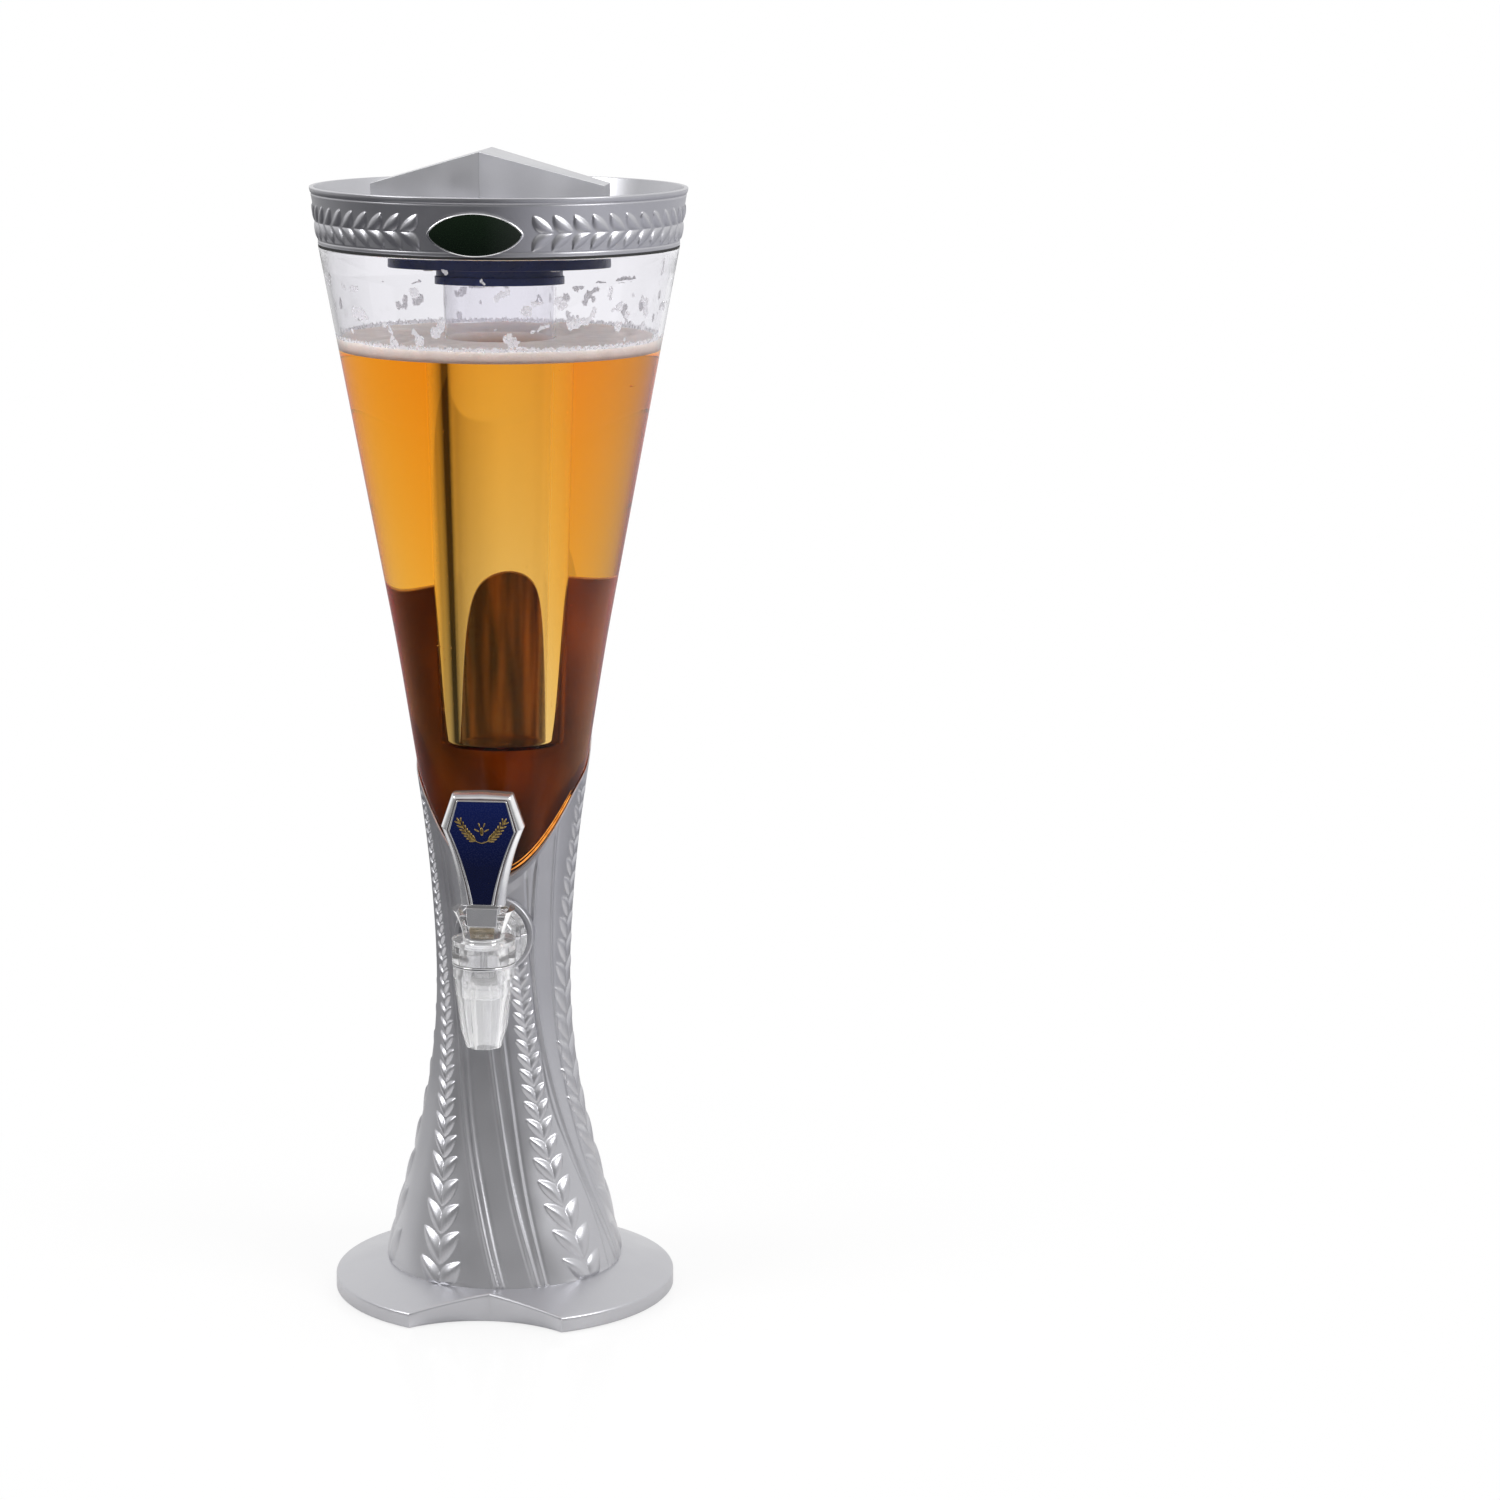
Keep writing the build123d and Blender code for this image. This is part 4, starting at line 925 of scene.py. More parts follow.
class MakeStage(bpy.types.Operator):
    """Pale floor, white room, two soft lamps and the camera"""

    bl_idname = "tower.make_stage"
    bl_label = "Stage"

    def execute(self, context):
        stage = context.scene.tower_stage
        self.make_room(context.scene, stage)
        self.make_floor()
        self.make_lamp("key_lamp", KEY_PLACE, KEY_SIZE, stage.key_power)
        self.make_lamp("fill_lamp", FILL_PLACE, FILL_SIZE, stage.fill_power)
        self.make_camera(context.scene, stage)
        return {"FINISHED"}

    def make_room(self, scene, stage):
        """White where it is looked at; else dim low down in front, and in a wedge through clear pieces."""
        world = bpy.data.worlds.new("white_room")
        scene.world = world
        world.use_nodes = True
        world.node_tree.nodes.clear()
        made = Nodes(world.node_tree)
        rays = made.node("ShaderNodeLightPath").outputs
        x, y, z = made.axes(made.place["Generated"])
        front = made.remap(z, stage.room_front, stage.room, (-0.1, 0.85), "SMOOTHSTEP")
        turn = made.math("MULTIPLY_ADD", made.math("MAXIMUM", x, 0.0), 0.4, y)
        fall = made.remap(turn, front, stage.room, (-0.35, 0.55), "SMOOTHSTEP")
        wedge = made.remap(made.math("DIVIDE", x, y), 0.12, 1.0, (-2.4, -0.3))
        through = made.mix(rays["Is Transmission Ray"], fall, wedge)
        room, output = made.node("ShaderNodeBackground"), made.node("ShaderNodeOutputWorld")
        room.inputs["Color"].default_value = (1, 1, 1, 1)
        made.link(made.mix(rays["Is Camera Ray"], through, 1.0), room.inputs["Strength"])
        made.link(room.outputs["Background"], output.inputs["Surface"])

    def make_floor(self):
        """White where it is looked at, also through clear pieces; darker far from the foot in reflections."""
        made = Finish("floor", roughness=0.12, specular_ior_level=0.2)
        rays = made.node("ShaderNodeLightPath").outputs
        x, y, _ = made.axes(made.place["Object"])
        length = made.node("ShaderNodeVectorMath", operation="LENGTH")
        made.link(made.place["Object"], length.inputs[0])
        far = length.outputs["Value"]
        distant = made.tint(made.remap(x, 0, 1, (0.0, 1.2)), (0.02, 0.02, 0.03), (0.55, 0.55, 0.6), (0, 1))
        made.colour(made.blend(made.remap(far, 0, 1, (0.34, 0.62)), (0.8, 0.8, 0.8, 1), distant))
        reach = made.remap(far, 0.78, 1.0, (0.08, 0.42), "SMOOTHSTEP")
        aside = made.math("DIVIDE", x, y)
        wide, steep = made.remap(aside, 0.1, 1.0, (-2.4, -1.1)), made.remap(aside, 0.5, 1.0, (-0.75, -0.12))
        wedge = made.math("MULTIPLY", steep, wide)
        through = made.math("MULTIPLY", wedge, made.remap(y, 0.8, 1.0, (0.0, 0.2)))
        looked = made.math("MAXIMUM", rays["Is Camera Ray"], rays["Is Transmission Ray"])
        white, mix = made.node("ShaderNodeEmission"), made.node("ShaderNodeMixShader")
        white.inputs["Color"].default_value = (1, 1, 1, 1)
        made.link(made.math("MAXIMUM", rays["Is Camera Ray"], through), white.inputs["Strength"])
        made.link(made.math("MULTIPLY", looked, reach), mix.inputs["Fac"])
        made.link(made.shader.outputs["BSDF"], mix.inputs[1])
        made.link(white.outputs["Emission"], mix.inputs[2])
        made.link(mix.outputs["Shader"], made.output.inputs["Surface"])
        corners = [(x * FLOOR_HALF, y * FLOOR_HALF, 0) for x, y in ((-1, -1), (1, -1), (1, 1), (-1, 1))]
        add_mesh("floor", corners, [(0, 1, 2, 3)], made.material)

    def make_lamp(self, name, place, size, power):
        lamp = bpy.data.lights.new(name, "AREA")
        lamp.shape = "RECTANGLE"
        lamp.size, lamp.size_y = size
        lamp.energy = power
        made = bpy.data.objects.new(name, lamp)
        made.location = place
        made.visible_transmission = False
        made.rotation_mode = "QUATERNION"
        made.rotation_quaternion = (Vector(LAMP_AIM) - Vector(place)).to_track_quat("-Z", "Y")
        bpy.context.scene.collection.objects.link(made)

    def make_camera(self, scene, stage):
        forward = Vector(
            (-sin(stage.heading) * cos(stage.pitch), cos(stage.heading) * cos(stage.pitch), -sin(stage.pitch))
        )
        right = Vector((cos(stage.heading), sin(stage.heading), 0))
        up = right.cross(forward)
        side = right * cos(stage.roll) + up * sin(stage.roll)
        top = up * cos(stage.roll) - right * sin(stage.roll)
        lens = bpy.data.cameras.new("camera")
        lens.sensor_width = 36
        lens.lens = stage.lens
        lens.clip_end = 200
        made = bpy.data.objects.new("camera", lens)
        turn = Matrix((side, top, -forward)).transposed().to_4x4()
        made.matrix_world = Matrix.Translation(stage.camera_place) @ turn
        scene.collection.objects.link(made)
        scene.camera = made
        scene.view_settings.view_transform = "Standard"
        scene.cycles.max_bounces = 32
        scene.cycles.transmission_bounces = 32
        scene.cycles.glossy_bounces = 12
        scene.cycles.transparent_max_bounces = 32


class MakeFoot(bpy.types.Operator):
    """Foot plate with its cover, pads, screws and ballast"""

    bl_idname = "tower.make_foot"
    bl_label = "Foot"

    def execute(self, context):
        self.make_plate()
        dress("bottom_cover", finish("black_plastic"), 0.3)
        dress("rubber_feet", finish("rubber"), 0.4)
        dress("ballast_disc", finish("cast_iron"), 0.5)
        dress("base_screws", finish("steel"), 0.2)
        return {"FINISHED"}

    def deck(self, r):
        """Height of the plate's sloping upper face at a radius."""
        slope = (COLUMN_FOOT[1] - FOOT_EDGE) / (FOOT_RADIUS - COLUMN_FOOT[0])
        return FOOT_EDGE + (FOOT_RADIUS - r) * slope

    def notch(self, angle):
        """Radii of the notched rim at each angle: scooped at the table, straight-sided above."""
        side, front = np.abs(np.sin(angle)), np.cos(angle)
        crease = sqrt(FOOT_RADIUS**2 - NOTCH_HALF**2) - NOTCH_DEPTH
        scoop = (NOTCH_HALF**2 + NOTCH_DEPTH**2) / 2 / NOTCH_DEPTH
        straight = front - side * NOTCH_DEPTH / NOTCH_HALF
        upper = np.where(straight > 0.1, crease / np.maximum(straight, 0.1), FOOT_RADIUS)
        centre = crease + scoop
        under = (centre * front) ** 2 - centre**2 + scoop**2
        hollow = centre * front - np.sqrt(np.maximum(under, 0))
        lower = np.where((under > 0) & (front > 0), np.minimum(hollow, FOOT_RADIUS), FOOT_RADIUS)
        return lower, np.minimum(upper, FOOT_RADIUS)

    def make_plate(self):
        """A hollow plate, as rings of (radius, height) from its ceiling out, up and in to the spigot."""
        angle = circle(720)
        corner = np.arcsin(NOTCH_HALF / FOOT_RADIUS)
        for place in (corner, 2 * pi - corner):
            angle[np.argmin(np.abs(angle - place))] = place
        lower, upper = self.notch(angle)
        edge, inset, top = self.deck(upper), upper - FOOT_ROUND, COLUMN_FOOT[1]
        ceiling, low = top - FOOT_CEILING, FOOT_STAND + 0.4
        rows = [(SPIGOT[1], ceiling), (lower - FOOT_WALL, FOOT_EDGE - FOOT_WALL)]
        rows += [(lower - FOOT_WALL, FOOT_STAND), (lower - 0.4, FOOT_STAND)]
        for share in np.linspace(0, 1, 10):
            rows.append((lower + (upper - lower) * share, low + (edge - FOOT_ROUND - low) * share))
        for t in (0.2, 0.4, 0.6, 0.8, 1.0):
            a, b, c = (1 - t) ** 2, 2 * t * (1 - t), t**2
            height = a * (edge - FOOT_ROUND) + b * edge + c * self.deck(inset)
            rows.append((a * upper + b * upper + c * inset, height))
        for share in np.linspace(0, 1, 16)[1:]:
            r = inset + (COLUMN_FOOT[0] - inset) * share
            rows.append((r, self.deck(r)))
        rows += [(SPIGOT[1], top), (SPIGOT[1], SPIGOT[2]), (SPIGOT[0], SPIGOT[2]), (SPIGOT[0], top)]
        points = np.vstack([ring_points(r, angle, h) for r, h in rows] + [[(0, 0, ceiling), (0, 0, top)]])
        plate = add_mesh("foot", points, capped(len(rows), len(angle)), finish("silver_paint"), 28)
        seat(plate, "tower", "silver_paint", "foot_plate")


class MakeColumn(bpy.types.Operator):
    """Moulded column with ears of leaves, double ribs and an oblique rim"""

    bl_idname = "tower.make_column"
    bl_label = "Column"

    def execute(self, context):
        """One closed stack of rings: up the face, over the rim, down the bore and past the shelf."""
        columns, face_rows, bore_rows, round_edge, step = 640, 520, 90, 0.45, 4.0
        angle = circle(columns)
        top, top_inside = cut_height(angle, column_radius), cut_height(angle, column_bore)
        rise = np.linspace(0, 1, face_rows)[:, None]
        z = COLUMN_FOOT[1] + rise * (top - round_edge - COLUMN_FOOT[1])
        around = np.broadcast_to(angle, z.shape)
        fade_top, fade_foot = np.clip((top - z) / 6, 0, 1), np.clip((z - COLUMN_FOOT[1]) / 1.5, 0, 1)
        relief = column_relief(around, z, context.scene.tower_shape) * fade_top * fade_foot
        face = ring_points(column_radius(z) - COLUMN_SINK + relief, around, z)
        fall = np.linspace(0, 1, bore_rows)[:, None]
        z_in = (top_inside - round_edge) * (1 - fall) + SHELF[1] * fall
        ribs = self.inner_ribs(np.broadcast_to(angle, z_in.shape), z_in)
        bore = ring_points(column_bore(z_in) + ribs, angle, z_in)
        shelf = np.stack([ring_points(SHELF_HOLE, angle, level) for level in reversed(SHELF)])
        below = heights(SHELF[0], COLUMN_FOOT[1], step)[:, None] + 0 * angle
        under = ring_points(column_bore(below), angle, below)
        rim = self.rim(angle, top, top_inside)
        rows = np.concatenate([face, rim, bore, shelf, under])
        points, faces = self.add_saddle(rows.reshape(-1, 3), ring_faces(len(rows), columns, loop=True))
        column = add_mesh("column", points, faces, finish("silver_paint"), 50)
        # The bore's faces are marked bare; there silver_paint paints the drink's light as an amber tint with
        # streaks.
        bare = np.zeros(rows.size // 3)
        bare[(len(face) + len(rim)) * columns :] = 1.0
        bare = np.append(bare, np.zeros(len(points) - len(bare)))
        column.data.attributes.new("bare", "FLOAT", "POINT").data.foreach_set("value", bare)
        seat(column, "tower", "silver_paint", "column_shell")
        self.make_glow_line()
        return {"FINISHED"}

    def rim(self, angle, top, top_inside):
        """Five rings over the rounded rim, from its outer face to its inner one."""
        crest = (top + top_inside) / 2
        middle = (column_radius(crest) + column_bore(crest)) / 2
        half = column_radius(top) - COLUMN_SINK - middle
        lip = [(middle + sqrt(1 - lift**2) * half, crest + 0.3 * lift) for lift in (0.75, 0.95, 1.0)]
        lip += [(2 * middle - r, h) for r, h in reversed(lip[:-1])]
        return np.stack([ring_points(r, angle, h) for r, h in lip])

    def make_glow_line(self):
        """Two fine glowing amber strands beside the tap: a painted highlight of the drink's light along the
        rim.
        """
        steps, sides, from_tap, to = 90, 10, 12, 64
        points, faces = np.empty((0, 3)), []
        angle = np.radians(np.linspace(from_tap, to, steps))
        share = np.sin(np.linspace(0.02, 0.98, steps) * pi) ** 0.5
        turn = circle(sides)
        for thick, lift in ((0.6, 1.0), (0.3, 3.2)):
            z = cut_height(angle, column_bore) + lift
            spine = ring_points(barrel_radius(z) + 0.25 * thick, angle, z)
            ahead = np.gradient(spine, axis=0)
            ahead /= np.linalg.norm(ahead, axis=1)[:, None]
            outwards = ring_points(np.ones(steps), angle, np.zeros(steps))
            side = np.cross(ahead, outwards)
            ring = outwards[:, None] * np.cos(turn)[:, None] + side[:, None] * np.sin(turn)[:, None]
            rings = spine[:, None] + ring * (thick * share)[:, None, None]
            faces += capped(steps, sides, len(points))
            points = np.vstack([points, rings.reshape(-1, 3), spine[:1], spine[-1:]])
        seat(add_mesh("rim_glow_line", points, faces, finish("amber_glow_line"), 60), "tower", "amber_plastic")

    def inner_ribs(self, angle, z):
        """The ribs show faintly on the inside of the moulding where it laps the barrel."""
        sunk = np.zeros_like(z)
        for turn in (0, 180):
            for spines, _ in RIBS:
                side = across(angle, z, along([s + turn for s in spines]))
                sunk += 0.3 * np.exp(-((side / 3.0) ** 4))
        return sunk * np.clip((z - LAP_BOTTOM[1]) / 10, 0, 1)

    def add_saddle(self, points, faces):
        """A round seat for the tap's flange on the front of the column."""
        pole, root = SADDLE_BACK
        edge = [(SADDLE_RADIUS, root, 0), (SADDLE_RADIUS, SADDLE_FACE, 1.2)]
        outline = rounded([(0, pole), *edge, (0, SADDLE_FACE)], 6)
        columns = 96
        turn = circle(columns)
        rings = np.array([[(r * cos(a), y, SHANK_Z + r * sin(a)) for a in turn] for r, y in outline[1:-1]])
        poles = [(0, outline[0][1], SHANK_Z), (0, outline[-1][1], SHANK_Z)]
        faces = faces + capped(len(rings), columns, len(points))
        return np.vstack([points, rings.reshape(-1, 3), poles]), faces


class MakeBarrel(bpy.types.Operator):
    """Clear flared barrel with its sump and cushion"""

    bl_idname = "tower.make_barrel"
    bl_label = "Barrel"

    def execute(self, context):
        lip = cone(SHOULDER) - LIP_INSET
        lip_foot = CONE_BOTTOM[1] + (lip - CONE_BOTTOM[0]) / CONE_LEAN
        wall = [(float(barrel_radius(z)), float(z)) for z in heights(SUMP_TOP, SHOULDER, 3.0)]
        level = context.scene.tower_shape.drink_level / MM
        inner_heights = [*heights(lip_foot, level, 3.0), *heights(level, SUMP_TOP, 3.0)[1:]]
        inner = [(float(barrel_radius(z)) - BARREL_WALL, float(z)) for z in inner_heights]
        floor = BARREL_FLOOR + BARREL_WALL
        sump = SUMP_RADIUS - BARREL_WALL
        outline = rounded(
            [(0, BARREL_FLOOR), (SUMP_RADIUS, BARREL_FLOOR, 0.6)]
            + wall[:-1]
            + [(wall[-1][0], SHOULDER, 0.5), (lip, SHOULDER, 0.3), (lip, LIP_TOP, 0.6)]
            + [(lip - BARREL_WALL, LIP_TOP, 0.6)]
            + inner
            + [(sump, floor, 4.0), (0, floor)]
        )
        barrel = turned("barrel", outline, finish("clear_plastic"), 256)
        wetted(barrel, lambda r, z: floor - 0.1 < z < level and r < barrel_radius(z) - BARREL_WALL / 2)
        clear(seat(barrel, "tower", "clear_plastic", "barrel"))
        dress("barrel_cushion", finish("rubber"), 0.4)
        return {"FINISHED"}


class MakeDrink(bpy.types.Operator):
    """Drink, froth, froth dried on the wall and small bubbles"""

    bl_idname = "tower.make_drink"
    bl_label = "Drink"

    def execute(self, context):
        shape = context.scene.tower_shape
        level = shape.drink_level / MM
        self.make_lager(level)
        self.make_froth(level, shape.froth_depth / MM)
        self.make_splashes(level, shape.splashes)
        self.make_bubbles(level, shape.bubbles)
        return {"FINISHED"}

    def wall(self, z, gap=0.0):
        return float(barrel_radius(z)) - BARREL_WALL + gap

    def tube(self, z, depth):
        """Radius of the ice tube at a height, this deep under its outer face."""
        share = (z - TUBE_BOTTOM[1]) / (TUBE_NECK[1] - TUBE_BOTTOM[1])
        return TUBE_BOTTOM[0] + share * (TUBE_NECK[0] - TUBE_BOTTOM[0]) - depth

    def make_lager(self, level):
        overlap, half = 0.3, TUBE_WALL / 2
        floor, tube_foot = BARREL_FLOOR + BARREL_WALL - overlap, TUBE_BOTTOM[1] + half
        wall = [(self.wall(z, overlap), float(z)) for z in heights(SUMP_TOP, level, 3.0)]
        outline = rounded(
            [(0, floor), (SUMP_RADIUS - BARREL_WALL + overlap, floor, 4.0)]
            + wall[:-1]
            + [(wall[-1][0], level, 0.0), (self.tube(level, half), level, 0.0)]
            + [(self.tube(tube_foot, half), tube_foot, 3.2), (0, tube_foot)],
            8,
        )
        lager = turned("lager", outline, finish("lager"), 256)
        clear(seat(lager, "tower", "clear_plastic"))

    def make_froth(self, level, depth):
        """A closed ring of froth: up the wall, over a wavy top with a dip, and down the ice tube."""
        rng = np.random.default_rng(7)
        columns, rows, lap = 360, 26, 0.05
        angle = circle(columns)
        waves = [(k, rng.uniform(0, 2 * pi), rng.uniform(0.3, 1.0) / k**0.5) for k in range(2, 26)]
        ripple = sum(a * np.sin(k * angle + p) for k, p, a in waves) * 0.3
        low, top = level - 0.2, level + depth
        rings = [ring_points(self.wall(z, 0.25), angle, z) for z in (low, level + 2, level + depth * 0.7)]
        crest = level + depth + ripple
        rings.append(ring_points(barrel_radius(crest) - BARREL_WALL + 0.2, angle, crest))
        inner, outer = self.tube(top, -lap), self.wall(top)
        for share in np.linspace(0.02, 0.98, rows):
            r = outer + (inner - outer) * share
            dip = (depth * 0.2) * (1 - np.exp(-share * 14)) * (1 - np.exp(-(1 - share) * 9))
            bumps = sum(0.28 * np.sin(k * angle + p + share * 9 * (k % 5)) for k, p, _ in waves[8:])
            bumps = bumps * 0.5 * sin(pi * share)
            swell = np.exp(-share * 12) + 0.3 * np.exp(-(1 - share) * 10)
            rings.append(ring_points(r, angle, level + depth - dip + ripple * swell + bumps))
        rings.append(ring_points(inner, angle, level + depth * 0.9 + 0.25 * ripple))
        rings.append(ring_points(self.tube(level, -lap), angle, low))
        faces = ring_faces(len(rings), columns, loop=True)
        froth = add_mesh("froth", np.concatenate(rings), faces, finish("foam"), 80)
        # Painted light: the bottom faces take the amber, glowing underside.
        froth.data.materials.append(finish("lit_foam"))
        for face in froth.data.polygons:
            face.material_index = int(face.center.z < (low + 0.1) * MM)
        seat(froth, "tower", "white_plastic")

    def make_splashes(self, level, count):
        """Ragged patches and streaks of froth on the inside of the clear wall."""
        rng = np.random.default_rng(11)
        low, high, step, mean = level + 5.5, level + 50, 0.36, 88.0
        columns, rows = int(2 * pi * mean / step), int((high - low) / step)
        u, z = circle(columns), np.linspace(low, high, rows)
        field = np.full((rows, columns), -3.0)
        for _ in range(count):
            self.add_streak(field, u, z, rng, mean)
        turns, rises = u[None, :], z[:, None]
        wobble = sum(
            rng.uniform(0.1, 0.3) * np.sin(k * turns + rng.uniform(0, 6) + rises * rng.uniform(-2, 2))
            for k in rng.integers(40, 300, 12)
        )
        fringe = (low + 2.6 - z)[:, None] * 0.6
        field = np.maximum(field, fringe) + 0.45 * wobble
        inside = field > 0
        inside[[0, -1]] = False
        used = inside[:-1] & inside[1:]
        used &= np.roll(used, -1, axis=1)
        thinnest, swell, off_wall = 0.05, 0.5, 0.12
        thick = swell * (1 - np.exp(-np.clip(field, 0, None) * 1.8)) + thinnest
        angle, rise = np.broadcast_to(u, field.shape), np.broadcast_to(z[:, None], field.shape)
        wall = barrel_radius(rise) - BARREL_WALL + off_wall
        sheets = [ring_points(wall - thick, angle, rise), ring_points(wall, angle, rise)]
        kept, faces = self.film_faces(used, columns)
        points = np.concatenate([sheet.reshape(-1, 3) for sheet in sheets])[kept]
        patches = add_mesh("wall_froth", points, faces, finish("froth_film"), 60)
        clear(seat(patches, "tower", "white_plastic"))

    def film_faces(self, used, columns):
        """The kept points and the faces of a thin film over the used cells of a grid, with its rims."""
        r, c = np.nonzero(used)
        near = c + 1 - columns * (c + 1 == columns)
        row, above = r * columns, (r + 1) * columns
        corners = np.stack([row + c, row + near, above + near, above + c], -1)
        shift = (used.shape[0] + 1) * columns
        edges = {}
        for quad in corners.tolist():
            for a, b in zip(quad, quad[1:] + quad[:1]):
                if (b, a) in edges:
                    del edges[(b, a)]
                else:
                    edges[(a, b)] = True
        rims = np.array([(b, a, a + shift, b + shift) for a, b in edges])
        faces = np.concatenate([corners, corners[:, ::-1] + shift, rims])
        kept, faces = np.unique(faces, return_inverse=True)
        return kept, faces.reshape(-1, 4).tolist()

    def add_streak(self, field, u, z, rng, mean):
        """Raises the field along one wandering streak or blob; most lie low on the wall."""
        x, y = rng.uniform(0, 2 * pi), z[0] + (z[-1] - z[0]) * (0.05 + 0.9 * rng.beta(1.1, 1.9))
        heading = rng.uniform(0, 2 * pi)
        size = rng.uniform(1.2, 3.6) * (1.0 if rng.random() < 0.6 else 0.45)
        reach = 9
        for _ in range(int(rng.choice([1, 1, 2, 4, 6, 9]))):
            near_z = np.nonzero(np.abs(z - y) < reach)[0]
            aside = ((u - x + pi) % (2 * pi) - pi) * mean
            near_u = np.nonzero(np.abs(aside) < reach)[0]
            if len(near_z) and len(near_u):
                gap = np.hypot(aside[near_u][None, :], (z[near_z] - y)[:, None])
                block = np.ix_(near_z, near_u)
                field[block] = np.maximum(field[block], size - gap)
            heading += rng.normal(0, 0.55)
            x, y = x + cos(heading) * size * 1.1 / mean, y + sin(heading) * size * 0.8
            size = float(np.clip(size * rng.uniform(0.75, 1.2), 0.6, 3.8))

    def make_bubbles(self, level, count):
        """Strings of bubbles up the sides of the ice tube, and strays in the rest of the drink."""
        rng = np.random.default_rng(5)
        strings, strays_from = [-66, -61, 75], 300
        bubbles = []
        for i in range(count):
            if i % 3:
                z = rng.uniform(TUBE_BOTTOM[1] + 20, level - 6)
                angle = radians(rng.choice(strings)) + rng.normal(0, 0.03)
                r = self.tube(z, -rng.uniform(0.6, 2.2))
                size = rng.uniform(0.2, 0.42)
            else:
                z = rng.uniform(strays_from, level - 3)
                angle = rng.uniform(-pi, pi)
                r = self.wall(z) * rng.uniform(0.75, 0.985)
                size = rng.uniform(0.18, 0.4)
            bubbles.append((size, Matrix.Translation((r * sin(angle), -r * cos(angle), z))))
        clear(seat(add_balls("bubbles", bubbles, finish("air_bubble"), 90), "tower", "clear_plastic"))


class MakeIceTube(bpy.types.Operator):
    """Clear ice tube, its screwed cap, seal and screws"""

    bl_idname = "tower.make_ice_tube"
    bl_label = "Ice tube"

    def execute(self, context):
        level = context.scene.tower_shape.drink_level / MM
        (foot, bottom), (neck, shoulder) = TUBE_BOTTOM, TUBE_NECK
        waterline = foot + (level - bottom) / (shoulder - bottom) * (neck - foot)
        slope = (waterline - foot) / (level - bottom)
        outline = rounded(
            [(0, bottom), (foot, bottom, 4.0), (waterline, level, 0), (neck, shoulder, 0)]
            + [(neck, TUBE_TOP, 0.3), (neck - TUBE_WALL, TUBE_TOP, 0.3), (neck - TUBE_WALL, shoulder, 0)]
            + [(foot - TUBE_WALL, bottom + TUBE_WALL, 2.9), (0, bottom + TUBE_WALL)],
            8,
        )
        tube = turned("ice_tube_clear", outline, finish("clear_plastic"), 192)

        def wet(r, z):
            outside = r > foot + (z - bottom) * slope - TUBE_WALL / 2
            return z < level and (outside or z < bottom + TUBE_WALL / 2)

        wetted(tube, wet)
        clear(seat(tube, "tube", "clear_plastic", "ice_tube"))
        self.make_cap()
        dress("tube_seal", finish("rubber"), 0.2)
        return {"FINISHED"}

    def make_cap(self):
        """A thin wide cap under the deck, with the tube's socket below it, and its four screws."""
        bore = TUBE_NECK[0] + 0.05
        socket = bore + SOCKET_WALL
        neck, step = socket - 0.8, CAP_UNDERSIDE - 4.5
        floor, inside = CAP_UNDERSIDE + CAP_FLOOR, CAP_RADIUS - CAP_WALL
        outline = rounded(
            [(0, SOCKET[1]), (bore, SOCKET[1], 0), (bore, SOCKET[0], 0.3), (socket, SOCKET[0], 0.8)]
            + [(socket, step, 0.4), (neck, step + 0.5, 0.3), (neck, CAP_UNDERSIDE, 0.6)]
            + [(CAP_RADIUS, CAP_UNDERSIDE, 0.9), (CAP_RADIUS, DECK[0], 0), (inside, DECK[0], 0)]
            + [(inside, floor, 1.0), (socket, floor, 1.0), (socket, SOCKET[2], 1.0), (0, SOCKET[2])]
        )
        seat(turned("cap", outline, finish("navy_plastic")), "tube", "navy_plastic", "tube_cap")
        head, shaft, low = 2.6, 1.5, CAP_UNDERSIDE - 0.9
        sides = [(head, low, 0.7), (head, floor, 0), (shaft, floor, 0), (shaft, DECK[0], 0)]
        screw = rounded([(0, low), *sides, (0, DECK[0])])
        turns = [radians(45 + 90 * k) for k in range(4)]
        centres = [(SCREW_CIRCLE * cos(a), SCREW_CIRCLE * sin(a)) for a in turns]
        screws = turned("cap_fixings", screw, finish("steel"), 32, centres)
        seat(screws, "tube", "steel", "cap_screws")


